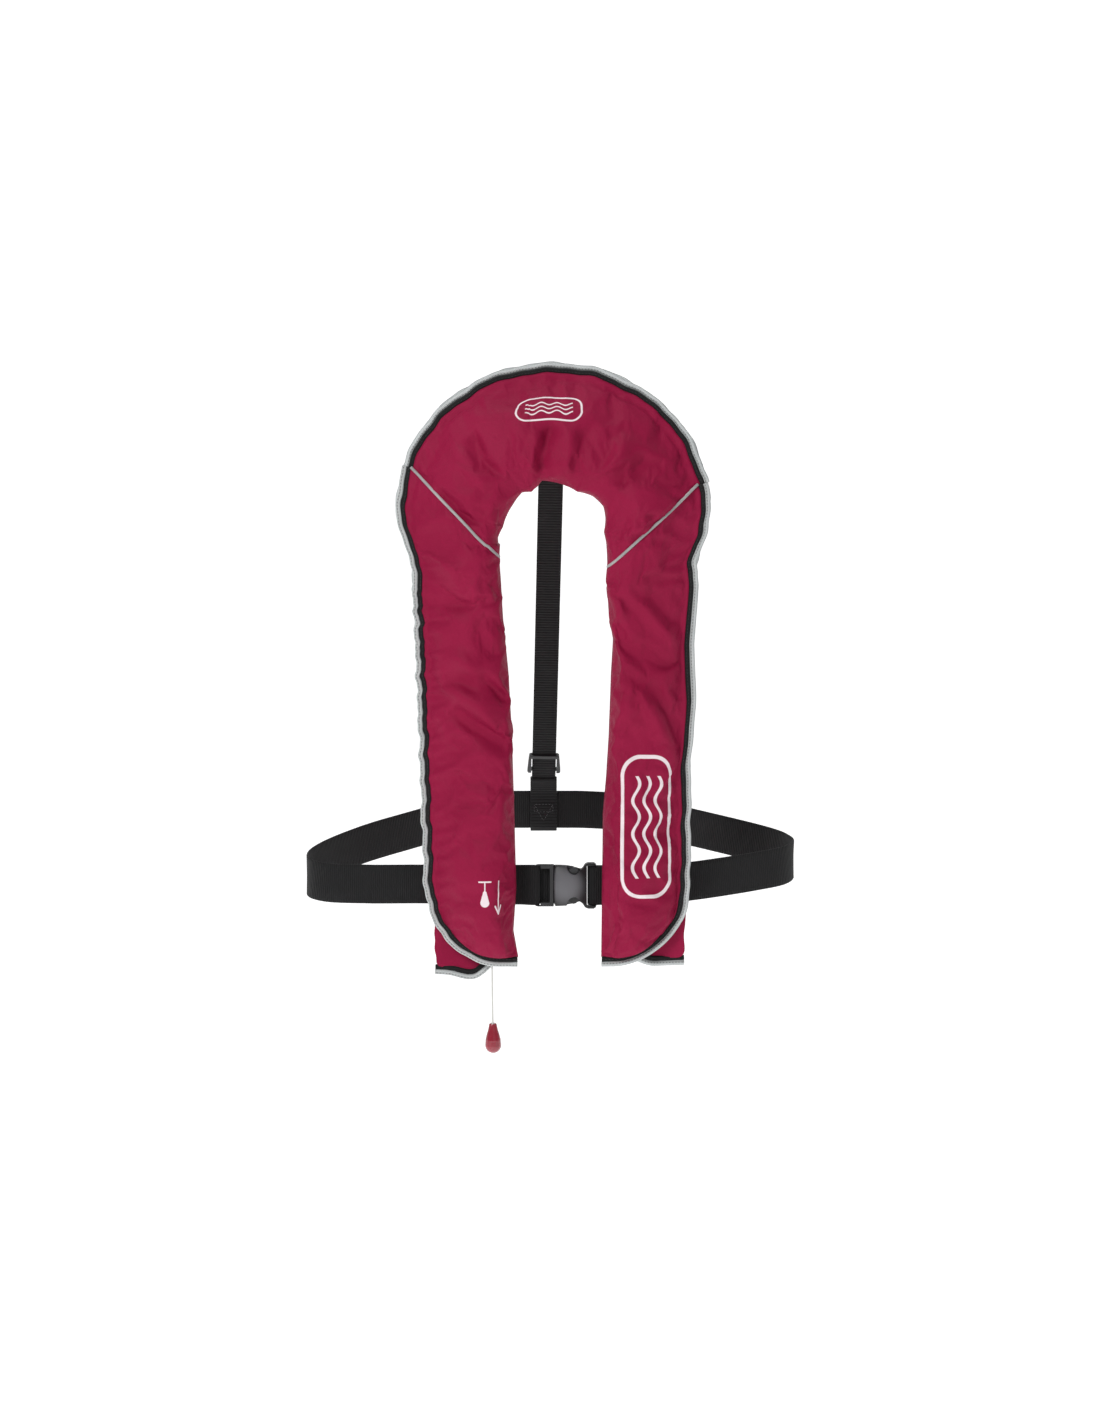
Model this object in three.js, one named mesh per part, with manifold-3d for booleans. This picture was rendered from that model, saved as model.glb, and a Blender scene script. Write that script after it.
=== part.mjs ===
// Inflatable life jacket: a horseshoe cover folded over its packed air chamber, with a back strap, a waist
// belt with a side-release buckle, and a manual inflator that a pull toggle fires.
// Millimetres, +Z up. The wearer looks along -Y and has the right lobe at -X. The origin is where the collar
// rests on the nape, at the middle of the collar's inner edge.
import * as THREE from "three";
import { mergeVertices } from "three/addons/utils/BufferGeometryUtils.js";
import Module from "manifold-3d";

const wasm = await Module();
wasm.setup();

// ---- Driving dimensions ----
const COLLAR_RISE = 118; // nape up to the collar's outer edge
const SHOULDER_HALF = 157; // centre line to the widest place, over the piping
const SHOULDER_DROP = 25; // nape down to the widest place
const SHOULDER_FALL = 65; // length of the step in from the shoulder to the lobe
const LOBE_OUT_TOP = 143; // centre line to the outer edge under the shoulder
const LOBE_DROP = 487; // nape down to the front flaps' lower edge
const NECK_HALF = 54; // half width of the neck opening
const NECK_DROP = 60; // nape down to where the neck arch ends
const CORNER_WIDE = 78; // the front flap's rounded lower corner, across
const CORNER_TALL = 88; // and up
const REAR_CORNER = 22; // radius of the back panel's lower corner
const SIDES = {
  right: { sign: -1, inLow: 40, outLow: 133, seamAngle: 17, seamDrop: 73, rearLow: 122, rearDrop: 498 },
  left: { sign: 1, inLow: 45, outLow: 137, seamAngle: 10, seamDrop: 83, rearLow: 132, rearDrop: 489 },
};
const FRONT_SWELL = 26; // cover's front surface ahead of the middle plane
const REAR_SWELL = 12; // cover's back surface behind it
const FABRIC = 1.2; // cover fabric with its lining
const COLLAR_LEAN = 55; // how far the collar's top leans back
const LEAN_FROM = 85; // nape down to where the lean begins
const CHEST_RADIUS = 821.6333333333333; // how the jacket's width wraps back round the chest
const GAP = 0.4; // clearance between pieces that touch

const PIPING_DIA = 5.6; // reflective piping on the flap edges
const BINDING_WIDE = 4.4; // black binding beside it
const BINDING_THICK = 2.4;
const SEAM_PIPING_DIA = 3;
const EDGE_Y = 4.4; // cover's outer edge, from the middle plane
const PIPING_Y = PIPING_DIA / 2 + 0.5; // middle of the piping and the binding, from the middle plane
const BOTTOM_GAP = 1.6; // how much further the two lower edges stand apart
const FASTENER_WIDE = 7; // hook and loop tape inside the outer edge
const FASTENER_THICK = 1.3;

const BELT_WIDE = 40;
const WEB_THICK = 1.6;
const BELT_Z = -408; // middle of the belt's front run
const BELT_HALF = 247; // centre line to the belt's ends
const BELT_FRONT_Y = 23; // the belt's front run, behind the lobes
const BELT_BACK_Y = 235; // the belt's back run
const BELT_BEND = 138; // centre line to where the front run bends away
const BELT_TILT = 0.215; // rise per millimetre to the back, where the back strap holds it up
const STRAP_WIDE = 25;
const STRAP_LOOP_WIDE = 28;
const STRAP_TOP = [-2, 30, 18]; // where the back strap leaves the collar's back
const SLIDER_SHARE = 0.945; // the slider's place along the strap
const HANGER_LAP = 2; // how far the hanger's ends pass the strap's foot

const BUCKLE_X = 1; // the buckle's mouth
const BUCKLE_RIM = 2.5; // the buckle's edges outside the belt's
const BUCKLE_THICK = 11.6;
const BUCKLE_WALL = 2;
const BUCKLE_EDGE = 1.6;
const ARM_LONG = 25;
const ADJUSTER_LONG = 21;

const LEVER_X = -80; // pivot of the inflator's lever
const LEVER_Z = -375;
const LEVER_REACH = 20; // pivot to the cord's hole
const LEVER_REST = 30; // degrees above level
const CYLINDER_DIA = 21;
const CYLINDER_LONG = 104;
const INFLATOR_DEPTH = 16;
const INFLATOR_BACK = 0.6; // its back, from the middle plane
const STEM_DIA = 8;
const FIRING_PIN_DIA = 3;
const CORD_DIA = 1.8;
const TOGGLE_LONG = 31;
const TOGGLE_DIA = 16.6;
const TOGGLE_TOP = [-61, 6.6, -547];

// ---- Colours and finishes ----
function look(color, roughness, metalness = 0) {
  return new THREE.MeshStandardMaterial({ color, roughness, metalness });
}
const LOOKS = {
  cover: look(0x98264a, 0.7),
  reflective: look(0xc4c8c8, 0.45),
  webbing: look(0x1e1f1f, 0.85),
  plastic: look(0x2a2a2c, 0.35),
  toggle: look(0xa01c3a, 0.35),
  chamber: look(0xe8b62c, 0.6),
  steel: look(0xb8bcc0, 0.3, 0.9),
  cylinder: look(0x9aa39c, 0.35, 0.7),
  cord: look(0xf2f2ef, 0.8),
  whistle: look(0xe0661c, 0.4),
  clip: look(0x3c9a4a, 0.4),
};

const jacket = new THREE.Group();
function add(name, geometry, material) {
  const mesh = new THREE.Mesh(geometry, material);
  mesh.name = name;
  jacket.add(mesh);
  return mesh;
}

// ---- Solids and booleans ----
function toSolid(geometry) {
  const plain = geometry.clone();
  plain.deleteAttribute("normal");
  plain.deleteAttribute("uv");
  const merged = mergeVertices(plain, 1e-4);
  const mesh = new wasm.Mesh({
    numProp: 3,
    vertProperties: new Float32Array(merged.attributes.position.array),
    triVerts: new Uint32Array(merged.index.array),
  });
  return new wasm.Manifold(mesh);
}

function toGeometry(solid) {
  const mesh = solid.getMesh();
  const geometry = new THREE.BufferGeometry();
  geometry.setAttribute("position", new THREE.BufferAttribute(mesh.vertProperties, 3));
  geometry.setIndex(new THREE.BufferAttribute(mesh.triVerts, 1));
  return geometry;
}

function cut(geometry, ...tools) {
  return toGeometry(tools.reduce((s, t) => s.subtract(toSolid(t)), toSolid(geometry)));
}
function join(...parts) {
  return toGeometry(parts.slice(1).reduce((s, t) => s.add(toSolid(t)), toSolid(parts[0])));
}

// A box from its two corners.
function block(x0, x1, y0, y1, z0, z1) {
  const box = new THREE.BoxGeometry(x1 - x0, y1 - y0, z1 - z0);
  return box.translate((x0 + x1) / 2, (y0 + y1) / 2, (z0 + z1) / 2);
}

// An outline in X and Z, drawn in a THREE.Shape, made thick from y0 to y1.
function slab(shape, y0, y1, curveSegments = 6) {
  const plate = new THREE.ExtrudeGeometry(shape, { depth: y1 - y0, bevelEnabled: false, curveSegments });
  return plate.rotateX(Math.PI / 2).translate(0, y1, 0);
}

// A plate like a slab whose front and back edges are rounded off by the given amount.
function pillow(shape, y0, y1, edge) {
  const plate = new THREE.ExtrudeGeometry(shape, {
    depth: y1 - y0 - 2 * edge, curveSegments: 5,
    bevelThickness: edge, bevelSize: edge, bevelOffset: -edge, bevelSegments: 3,
  });
  return plate.rotateX(Math.PI / 2).translate(0, y1 - edge, 0);
}

// A cylinder along an axis, with its middle at the given place.
function rod(axis, radius, length, x, y, z, sides = 20) {
  const made = new THREE.CylinderGeometry(radius, radius, length, sides);
  if (axis === "x") made.rotateZ(Math.PI / 2);
  if (axis === "z") made.rotateX(Math.PI / 2);
  return made.translate(x, y, z);
}

// A closed geometry from convex rings of points: each ring joins the next, and the first and last are capped.
function loft(rings) {
  const count = rings[0].length;
  const index = [];
  for (let r = 0; r + 1 < rings.length; r++) {
    for (let k = 0; k < count; k++) {
      const a = r * count + k;
      const b = r * count + ((k + 1) % count);
      index.push(a, b, a + count, b, b + count, a + count);
    }
  }
  const last = (rings.length - 1) * count;
  for (let k = 1; k + 1 < count; k++) {
    index.push(0, k + 1, k);
    index.push(last, last + k, last + k + 1);
  }
  return closed(rings.flat(), index);
}

// A geometry from points and triangles, turned so that it faces outward.
function closed(points, index) {
  const geometry = new THREE.BufferGeometry().setFromPoints(points);
  geometry.setIndex(index);
  return toSolid(geometry).volume() < 0 ? reversed(geometry) : geometry;
}

function reversed(geometry) {
  const index = Array.from(geometry.index.array);
  for (let i = 0; i < index.length; i += 3) [index[i + 1], index[i + 2]] = [index[i + 2], index[i + 1]];
  geometry.setIndex(index);
  return geometry;
}

// A strip of webbing along stations {p, w, n}: middle, width direction, thickness direction.
function ribbon(stations, width, thickness) {
  return loft(
    stations.map(({ p, w, n }) =>
      [[-1, -1], [1, -1], [1, 1], [-1, 1]].map(([a, b]) =>
        p.clone().addScaledVector(w, (a * width) / 2).addScaledVector(n, (b * thickness) / 2),
      ),
    ),
  );
}

// ---- The cover's outline ----
const degrees = THREE.MathUtils.degToRad;
const smooth = THREE.MathUtils.smoothstep;
const vec = (x, y, z) => new THREE.Vector3(x, y, z);

const EDGE_PLAY = 1.9; // clearance between the binding and the cover's edge, which are bent apart
const FLAP_INSET = PIPING_DIA + GAP + BINDING_WIDE + EDGE_PLAY; // the cover's own edge, in from the outside
const PIPING_INSET = PIPING_DIA / 2;
const BINDING_INSET = PIPING_DIA + GAP + BINDING_WIDE / 2;
const LIP_SHARE = 0.88; // share of the width where the flat lip begins
const STEP_END = SHOULDER_DROP + SHOULDER_FALL;

// A lobe's outer edge from the shoulder seam to its lower inner corner, with X positive. The corner is an
// ellipse on a front flap, and a small arc on a back panel.
function edgePath(side, inset, rear, half = false) {
  const out = (rear ? side.rearLow : side.outLow) - inset;
  const low = (rear ? side.rearDrop : LOBE_DROP) - inset;
  const wide = rear ? REAR_CORNER : CORNER_WIDE - inset;
  const tall = rear ? REAR_CORNER : CORNER_TALL - inset;
  const shoulder = SHOULDER_HALF - inset;
  const step = LOBE_OUT_TOP - inset;
  const path = new THREE.Path();
  const rise = COLLAR_RISE + SHOULDER_DROP - inset;
  path.absellipse(0, -SHOULDER_DROP, shoulder, rise, degrees(side.seamAngle), 0, true);
  const bendZ = -SHOULDER_DROP - SHOULDER_FALL / 2;
  path.bezierCurveTo(shoulder, bendZ, step, bendZ, step, -STEP_END);
  path.lineTo(out, tall - low);
  path.absellipse(out - wide, tall - low, wide, tall, 0, half ? -Math.PI / 4 : -Math.PI / 2, true);
  if (!half) path.lineTo(side.inLow, -low);
  return path;
}

// The lower edge from the inner corner to the middle of the rounded one.
function lowerPath(side, inset, rear) {
  const out = (rear ? side.rearLow : side.outLow) - inset;
  const low = (rear ? side.rearDrop : LOBE_DROP) - inset;
  const wide = rear ? REAR_CORNER : CORNER_WIDE - inset;
  const tall = rear ? REAR_CORNER : CORNER_TALL - inset;
  const path = new THREE.Path();
  path.moveTo(side.inLow, -low);
  path.lineTo(out - wide, -low);
  path.absellipse(out - wide, tall - low, wide, tall, -Math.PI / 2, -Math.PI / 4, false);
  return path;
}

// The inner edge of a lobe at a height, with X positive.
function innerX(side, z) {
  return THREE.MathUtils.mapLinear(-z, NECK_DROP, LOBE_DROP, NECK_HALF, side.inLow);
}

// The collar's outer edge from the right shoulder seam to the left one.
function collarPath(inset) {
  const rise = COLLAR_RISE + SHOULDER_DROP - inset;
  const from = Math.PI - degrees(SIDES.right.seamAngle);
  const path = new THREE.Path();
  path.absellipse(0, -SHOULDER_DROP, SHOULDER_HALF - inset, rise, from, degrees(SIDES.left.seamAngle), true);
  return path;
}

// How far a place is pushed back by the collar's lean and the chest's curve.
function drape(x, z) {
  const up = Math.max(0, z + LEAN_FROM) / (COLLAR_RISE + LEAN_FROM);
  return COLLAR_LEAN * up * up + (x * x) / (2 * CHEST_RADIUS);
}

// How far the two flaps' lower edges have parted at a height.
const parting = (z) => BOTTOM_GAP * smooth(-z, LOBE_DROP - 75, LOBE_DROP - 12);

// ---- The cover's faces ----
const LOBE_ROWS = 16;
const COLLAR_ROWS = 20;
const COLUMNS = 8; // steps from the fold to the outer edge
const FOLD_SHARE = 0.3; // share of the width in which the fold rounds over
const LOWER_ROUND = 55; // height in which the lower end rounds over
const acrossShare = (k) => (k / COLUMNS) ** 1.4; // closer together at the fold

// Distance of the surface from the middle plane, at a share of the width and a height above the lower edge.
function swell(share, above, height, z) {
  const edge = EDGE_Y + parting(z);
  const round = Math.sqrt(1 - (1 - Math.min(1, share / FOLD_SHARE)) ** 2.2);
  const fall = THREE.MathUtils.clamp((share - FOLD_SHARE) / (LIP_SHARE - FOLD_SHARE), 0, 1);
  const end = Math.sqrt(1 - (1 - Math.min(1, above / LOWER_ROUND)) ** 2);
  return GAP / 2 + (edge + (height - edge) * (1 - fall ** 2.2) * end) * round;
}

// A place on a line of points at a share of its length.
function along(line, share) {
  const place = share * (line.length - 1);
  const low = Math.min(line.length - 2, Math.floor(place));
  return line[low].clone().lerp(line[low + 1], place - low);
}

// Four edges filled in: inner and outer run down, top and bottom run from the inner edge to the outer one.
function filled(inner, outer, top, bottom, u, s) {
  const sides = along(inner, u).multiplyScalar(1 - s).addScaledVector(along(outer, u), s);
  const ends = along(top, s).multiplyScalar(1 - u).addScaledVector(along(bottom, s), u);
  const corners = along(top, 0).multiplyScalar((1 - s) * (1 - u));
  corners.addScaledVector(along(top, 1), s * (1 - u));
  corners.addScaledVector(along(bottom, 0), (1 - s) * u);
  corners.addScaledVector(along(bottom, 1), s * u);
  return sides.add(ends).sub(corners);
}

// A grid of points on a lobe's front or back face.
function lobeFace(side, rear) {
  const outer = edgePath(side, FLAP_INSET, rear, true).getSpacedPoints(80);
  const bottom = lowerPath(side, FLAP_INSET, rear).getSpacedPoints(60);
  const seamInner = new THREE.Vector2(innerX(side, -side.seamDrop), -side.seamDrop);
  const rows = [];
  for (let i = 0; i <= LOBE_ROWS; i++) {
    const row = [];
    for (let k = 0; k <= COLUMNS; k++) {
      const share = acrossShare(k);
      const flat = filled([seamInner, bottom[0]], outer, [seamInner, outer[0]], bottom, i / LOBE_ROWS, share);
      const lowest = (rear ? side.rearDrop : LOBE_DROP) - FLAP_INSET;
      const y = swell(share, Math.max(0, flat.y + lowest), rear ? REAR_SWELL : FRONT_SWELL, flat.y);
      row.push(vec(side.sign * flat.x, (rear ? y : -y) + drape(flat.x, flat.y), flat.y - GAP / 2));
    }
    rows.push(row);
  }
  return rows;
}

// A grid of points on the collar's front or back face, from the right shoulder seam to the left one.
function collarFace(rear) {
  const { right, left } = SIDES;
  const arch = new THREE.Path();
  arch.moveTo(-innerX(right, -right.seamDrop), -right.seamDrop);
  arch.lineTo(-NECK_HALF, -NECK_DROP);
  arch.absellipse(0, -NECK_DROP, NECK_HALF, NECK_DROP, Math.PI, 0, true);
  arch.lineTo(innerX(left, -left.seamDrop), -left.seamDrop);
  const inner = arch.getSpacedPoints(60);
  const outer = collarPath(FLAP_INSET).getSpacedPoints(60);
  const rows = [];
  for (let i = 0; i <= COLLAR_ROWS; i++) {
    const row = [];
    for (let k = 0; k <= COLUMNS; k++) {
      const share = acrossShare(k);
      const flat = filled(inner, outer, [inner[0], outer[0]], [inner[60], outer[60]], i / COLLAR_ROWS, share);
      const y = swell(share, LOWER_ROUND, rear ? REAR_SWELL : FRONT_SWELL, flat.y);
      row.push(vec(flat.x, (rear ? y : -y) + drape(flat.x, flat.y), flat.y + GAP / 2));
    }
    rows.push(row);
  }
  return rows;
}

// Makes a face's thickness level at the fold and straight back at the outer edge.
function squareEnds(normals, i, column, last) {
  const normal = vec().fromBufferAttribute(normals, i);
  if (column === 0) normal.setY(0).normalize();
  if (column === last) normal.set(0, Math.sign(normal.y), 0);
  normals.setXYZ(i, normal.x, normal.y, normal.z);
}

// A sheet of fabric from its outer face's grid of points, thickened towards the middle plane.
function fabric(rows, thickness, rear) {
  const columns = rows[0].length;
  const count = rows.length * columns;
  const face = [];
  for (let i = 0; i + 1 < rows.length; i++) {
    for (let k = 0; k + 1 < columns; k++) {
      const a = i * columns + k;
      face.push(a, a + 1, a + columns, a + 1, a + columns + 1, a + columns);
    }
  }
  const outside = rows.flat();
  const open = new THREE.BufferGeometry().setFromPoints(outside);
  open.setIndex(face);
  open.computeVertexNormals();
  const normals = open.attributes.normal;
  for (let i = 0; i < count; i++) squareEnds(normals, i, i % columns, columns - 1);
  const middle = Math.floor(count / 2);
  const inward = normals.getY(middle) > 0 === rear ? -thickness : thickness;
  const normal = (i) => vec().fromBufferAttribute(normals, i);
  const inside = outside.map((p, i) => p.clone().addScaledVector(normal(i), inward));
  const rim = [];
  for (let k = 0; k + 1 < columns; k++) rim.push([k, k + 1]);
  for (let i = 0; i + 1 < rows.length; i++) rim.push([(i + 1) * columns - 1, (i + 2) * columns - 1]);
  for (let k = columns - 1; k > 0; k--) rim.push([count - columns + k, count - columns + k - 1]);
  for (let i = rows.length - 1; i > 0; i--) rim.push([i * columns, (i - 1) * columns]);
  const index = [...face];
  for (let i = 0; i < face.length; i += 3) {
    index.push(face[i] + count, face[i + 2] + count, face[i + 1] + count);
  }
  for (const [a, b] of rim) index.push(b, a, a + count, b, a + count, b + count);
  return closed([...outside, ...inside], index);
}

// ---- Edge trims and tapes ----
const disc = (diameter) => new THREE.Shape().absarc(0, 0, diameter / 2, 0, 2 * Math.PI);

// A section carried along points in space.
function swept(shape, points, steps, curveSegments = 6) {
  const extrudePath = new THREE.CatmullRomCurve3(points);
  return new THREE.ExtrudeGeometry(shape, { steps, extrudePath, bevelEnabled: false, curveSegments });
}

// Points in space on a flat outline, at a distance from the middle plane.
function lifted(path, count, sign, distance, rear, endGap) {
  const points = path.getSpacedPoints(count);
  if (endGap) points[0].lerp(points[1], endGap / points[0].distanceTo(points[1]));
  return points.map((p) => {
    const off = distance + parting(p.y);
    return vec(sign * p.x, (rear ? off : -off) + drape(p.x, p.y), p.y);
  });
}

// A flat tape along points in space, its width in the cover's plane and its thickness front to back.
function flatTape(points, steps, width, thickness) {
  const curve = new THREE.CatmullRomCurve3(points);
  const front = vec(0, 1, 0);
  const stations = Array.from({ length: steps + 1 }, (_, i) => {
    const t = curve.getTangentAt(i / steps);
    const w = t.clone().cross(front).normalize();
    return { p: curve.getPointAt(i / steps), w, n: w.clone().cross(t).normalize() };
  });
  return ribbon(stations, width, thickness);
}

const TRIM_STEPS = 28;
for (const rear of [false, true]) {
  const face = rear ? "back_panel" : "front_flap";
  for (const [name, side] of Object.entries(SIDES)) {
    const piping = lifted(edgePath(side, PIPING_INSET, rear), TRIM_STEPS, side.sign, PIPING_Y, rear, GAP);
    const binding = lifted(edgePath(side, BINDING_INSET, rear), TRIM_STEPS, side.sign, PIPING_Y, rear, GAP);
    add(`${name}_${face}`, fabric(lobeFace(side, rear), FABRIC, rear), LOOKS.cover);
    add(`${name}_${face}_piping`, swept(disc(PIPING_DIA), piping, TRIM_STEPS, 3), LOOKS.reflective);
    const edging = flatTape(binding, TRIM_STEPS, BINDING_WIDE, BINDING_THICK);
    add(`${name}_${face}_binding`, edging, LOOKS.webbing);
  }
  const collar = rear ? "collar_back" : "collar_front";
  const piping = lifted(collarPath(PIPING_INSET), TRIM_STEPS, 1, PIPING_Y, rear, GAP);
  const binding = lifted(collarPath(BINDING_INSET), TRIM_STEPS, 1, PIPING_Y, rear, GAP);
  add(collar, fabric(collarFace(rear), FABRIC, rear), LOOKS.cover);
  add(`${collar}_piping`, swept(disc(PIPING_DIA), piping, TRIM_STEPS, 3), LOOKS.reflective);
  add(`${collar}_binding`, flatTape(binding, TRIM_STEPS, BINDING_WIDE, BINDING_THICK), LOOKS.webbing);
}

// Hook tape inside each front flap's lip, and loop tape facing it on the back panel.
const TAPE_LIFT = 1.6; // middle of a tape from the middle plane
const TAPE_TOP = -105;
const TAPE_LOW = -395;
function tape(side, rear) {
  const middle = FLAP_INSET + 1 + FASTENER_WIDE / 2;
  const line = new THREE.Path();
  const along = edgePath(side, middle, rear).getSpacedPoints(90);
  const high = along.filter((p) => p.y < TAPE_TOP && p.y > TAPE_LOW);
  line.setFromPoints(high);
  const points = line.getSpacedPoints(8).map((p) => {
    const off = rear ? TAPE_LIFT : -TAPE_LIFT;
    return vec(side.sign * p.x, off + drape(p.x, p.y), p.y);
  });
  return flatTape(points, 10, FASTENER_WIDE, FASTENER_THICK);
}
for (const [name, side] of Object.entries(SIDES)) {
  add(`${name}_hook_tape`, tape(side, false), LOOKS.webbing);
  add(`${name}_loop_tape`, tape(side, true), LOOKS.webbing);
}

// Piping over the shoulder seams, just above each seam on the collar's face.
for (const [name, side] of Object.entries(SIDES)) {
  const face = collarFace(false);
  const above = side.sign > 0 ? [face[COLLAR_ROWS], face[COLLAR_ROWS - 1]] : [face[0], face[1]];
  const points = above[0].slice(1, COLUMNS).map((p, k) => {
    const next = above[1][k + 1];
    const place = p.clone().lerp(next, SEAM_PIPING_DIA / p.distanceTo(next));
    return place.add(vec(0, -SEAM_PIPING_DIA / 2 - 3 * GAP, 0));
  });
  add(`${name}_shoulder_piping`, swept(disc(SEAM_PIPING_DIA), points, 14, 3), LOOKS.reflective);
}

// ---- The air chamber ----
const LOBE_MID = 77; // centre line to the middle of a lobe's inside
const LOBE_Y = drape(LOBE_MID, -300); // the middle plane there
const CHAMBER_LOW = 452; // nape down to the chamber's ends
const CHAMBER_HALF = 22; // half width, packed
const CHAMBER_COLLAR_HALF = 30;
const CHAMBER_STEPS = 34;
const PACKED_HALF = 1.9; // half the folded chamber's thickness in the lobes
const CYLINDER_BACK = INFLATOR_BACK - INFLATOR_DEPTH / 2 + CYLINDER_DIA / 2; // from the middle plane
const PACKED_Y = CYLINDER_BACK + GAP + PACKED_HALF;

function chamber() {
  const line = new THREE.Path();
  line.moveTo(-LOBE_MID + 2, -CHAMBER_LOW);
  line.lineTo(-LOBE_MID - 8, -STEP_END);
  line.absellipse(0, -60, LOBE_MID + 12, 112, Math.PI, 0, true);
  line.lineTo(LOBE_MID + 8, -STEP_END);
  line.lineTo(LOBE_MID - 2, -CHAMBER_LOW);
  const stations = line.getSpacedPoints(CHAMBER_STEPS);
  const curve = new THREE.SplineCurve(stations);
  const rings = stations.map((p, i) => {
    const t = curve.getTangent(i / CHAMBER_STEPS);
    const thin = smooth(-p.y, 125, 175);
    const half = THREE.MathUtils.lerp(CHAMBER_COLLAR_HALF, CHAMBER_HALF, smooth(-p.y, 20, 150));
    const height = THREE.MathUtils.lerp(9, PACKED_HALF, thin);
    const middle = THREE.MathUtils.lerp(-5, PACKED_Y, thin);
    const end = Math.min(i, CHAMBER_STEPS - i) === 0 ? 0.8 : 1;
    return Array.from({ length: 10 }, (_, k) => {
      const angle = (k * Math.PI) / 5;
      const across = half * end * Math.cos(angle);
      const x = p.x - t.y * across;
      const z = p.y + t.x * across;
      return vec(x, middle + height * Math.sin(angle) + drape(x, z), z);
    });
  });
  return loft(rings);
}
add("bladder", chamber(), LOOKS.chamber);

// ---- The inflator, in the right lobe ----
const BODY_X = [-94, -70];
const BODY_Z = [-408, -353];
const BODY_Y = LOBE_Y + INFLATOR_BACK - INFLATOR_DEPTH / 2;
const SLOT_TALL = 24;
const SLOT_THICK = 5.4;
const LEVER_THICK = 4.4;
const PIVOT_DIA = 3;
const STEM_Z = -397;
const FIRING_TRAVEL = 3;

function inflatorBody() {
  const shape = new THREE.Shape();
  const [x0, x1] = BODY_X;
  const [z0, z1] = BODY_Z;
  const r = 5;
  shape.moveTo(x0 + r, z0);
  shape.lineTo(x1 - r, z0);
  shape.absarc(x1 - r, z0 + r, r, -Math.PI / 2, 0, false);
  shape.lineTo(x1, z1 - r);
  shape.absarc(x1 - r, z1 - r, r, 0, Math.PI / 2, false);
  shape.lineTo(x0 + r, z1);
  shape.absarc(x0 + r, z1 - r, r, Math.PI / 2, Math.PI, false);
  shape.lineTo(x0, z0 + r);
  shape.absarc(x0 + r, z0 + r, r, Math.PI, 1.5 * Math.PI, false);
  const body = slab(shape, BODY_Y - INFLATOR_DEPTH / 2, BODY_Y + INFLATOR_DEPTH / 2, 3);
  const slot = block(
    LEVER_X - 7, x1 + 5,
    BODY_Y - SLOT_THICK / 2, BODY_Y + SLOT_THICK / 2,
    LEVER_Z - SLOT_TALL / 2, LEVER_Z + SLOT_TALL / 2,
  );
  const pivot = rod("y", PIVOT_DIA / 2 + GAP, INFLATOR_DEPTH + 4, LEVER_X, BODY_Y, LEVER_Z, 12);
  const firing = rod("z", FIRING_PIN_DIA / 2 + GAP, 30, LEVER_X, BODY_Y, LEVER_Z + 20, 12);
  const stem = rod("y", STEM_DIA / 2 + GAP, INFLATOR_DEPTH + 4, LEVER_X, BODY_Y, STEM_Z, 16);
  return cut(body, slot, pivot, firing, stem);
}
add("inflator_body", inflatorBody(), LOOKS.webbing);

function lever() {
  const shape = new THREE.Shape();
  const hub = 4.4;
  const tip = 3.2;
  shape.absarc(0, 0, hub, Math.PI / 2, 1.5 * Math.PI, false);
  shape.lineTo(LEVER_REACH, -tip);
  shape.absarc(LEVER_REACH, 0, tip, -Math.PI / 2, Math.PI / 2, false);
  shape.lineTo(0, hub);
  const eye = rod("y", 1.6, LEVER_THICK + 4, LEVER_REACH, 0, 0, 12);
  const bore = rod("y", PIVOT_DIA / 2 + GAP, LEVER_THICK + 4, 0, 0, 0, 12);
  const arm = cut(slab(shape, -LEVER_THICK / 2, LEVER_THICK / 2, 5), eye, bore);
  return arm.rotateY(-degrees(LEVER_REST)).translate(LEVER_X, BODY_Y, LEVER_Z);
}
add("inflator_lever", lever(), LOOKS.toggle);
add("lever_pin", rod("y", PIVOT_DIA / 2, INFLATOR_DEPTH - 1, LEVER_X, BODY_Y, LEVER_Z, 12), LOOKS.steel);

const FIRING_LOW = LEVER_Z + 6.6;
const FIRING_TOP = BODY_Z[1] - 1;
const firingLong = FIRING_TOP - FIRING_LOW;
const firing = rod("z", FIRING_PIN_DIA / 2, firingLong, LEVER_X, BODY_Y, FIRING_LOW + firingLong / 2, 12);
add("piercing_pin", firing, LOOKS.steel);

function cylinder() {
  const r = CYLINDER_DIA / 2;
  const neck = 5;
  const profile = new THREE.Path();
  profile.moveTo(0, FIRING_TRAVEL + 1);
  profile.lineTo(FIRING_PIN_DIA / 2 + GAP, FIRING_TRAVEL + 1);
  profile.lineTo(FIRING_PIN_DIA / 2 + GAP, 0);
  profile.lineTo(neck, 0);
  profile.lineTo(neck, 9);
  profile.quadraticCurveTo(r, 11, r, 20);
  profile.lineTo(r, CYLINDER_LONG - r);
  profile.absarc(0, CYLINDER_LONG - r, r, 0, Math.PI / 2, false);
  const points = profile.getPoints(4).map((p) => new THREE.Vector2(Math.max(0, p.x), p.y));
  const made = new THREE.LatheGeometry(points, 18).rotateX(Math.PI / 2);
  return made.translate(LEVER_X, BODY_Y, BODY_Z[1] + GAP);
}
add("co2_cylinder", cylinder(), LOOKS.cylinder);

const clipFront = BODY_Y - INFLATOR_DEPTH / 2 - GAP;
add("indicator_clip", block(-88, -83, clipFront - 1.6, clipFront, -372, -358), LOOKS.clip);

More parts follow.
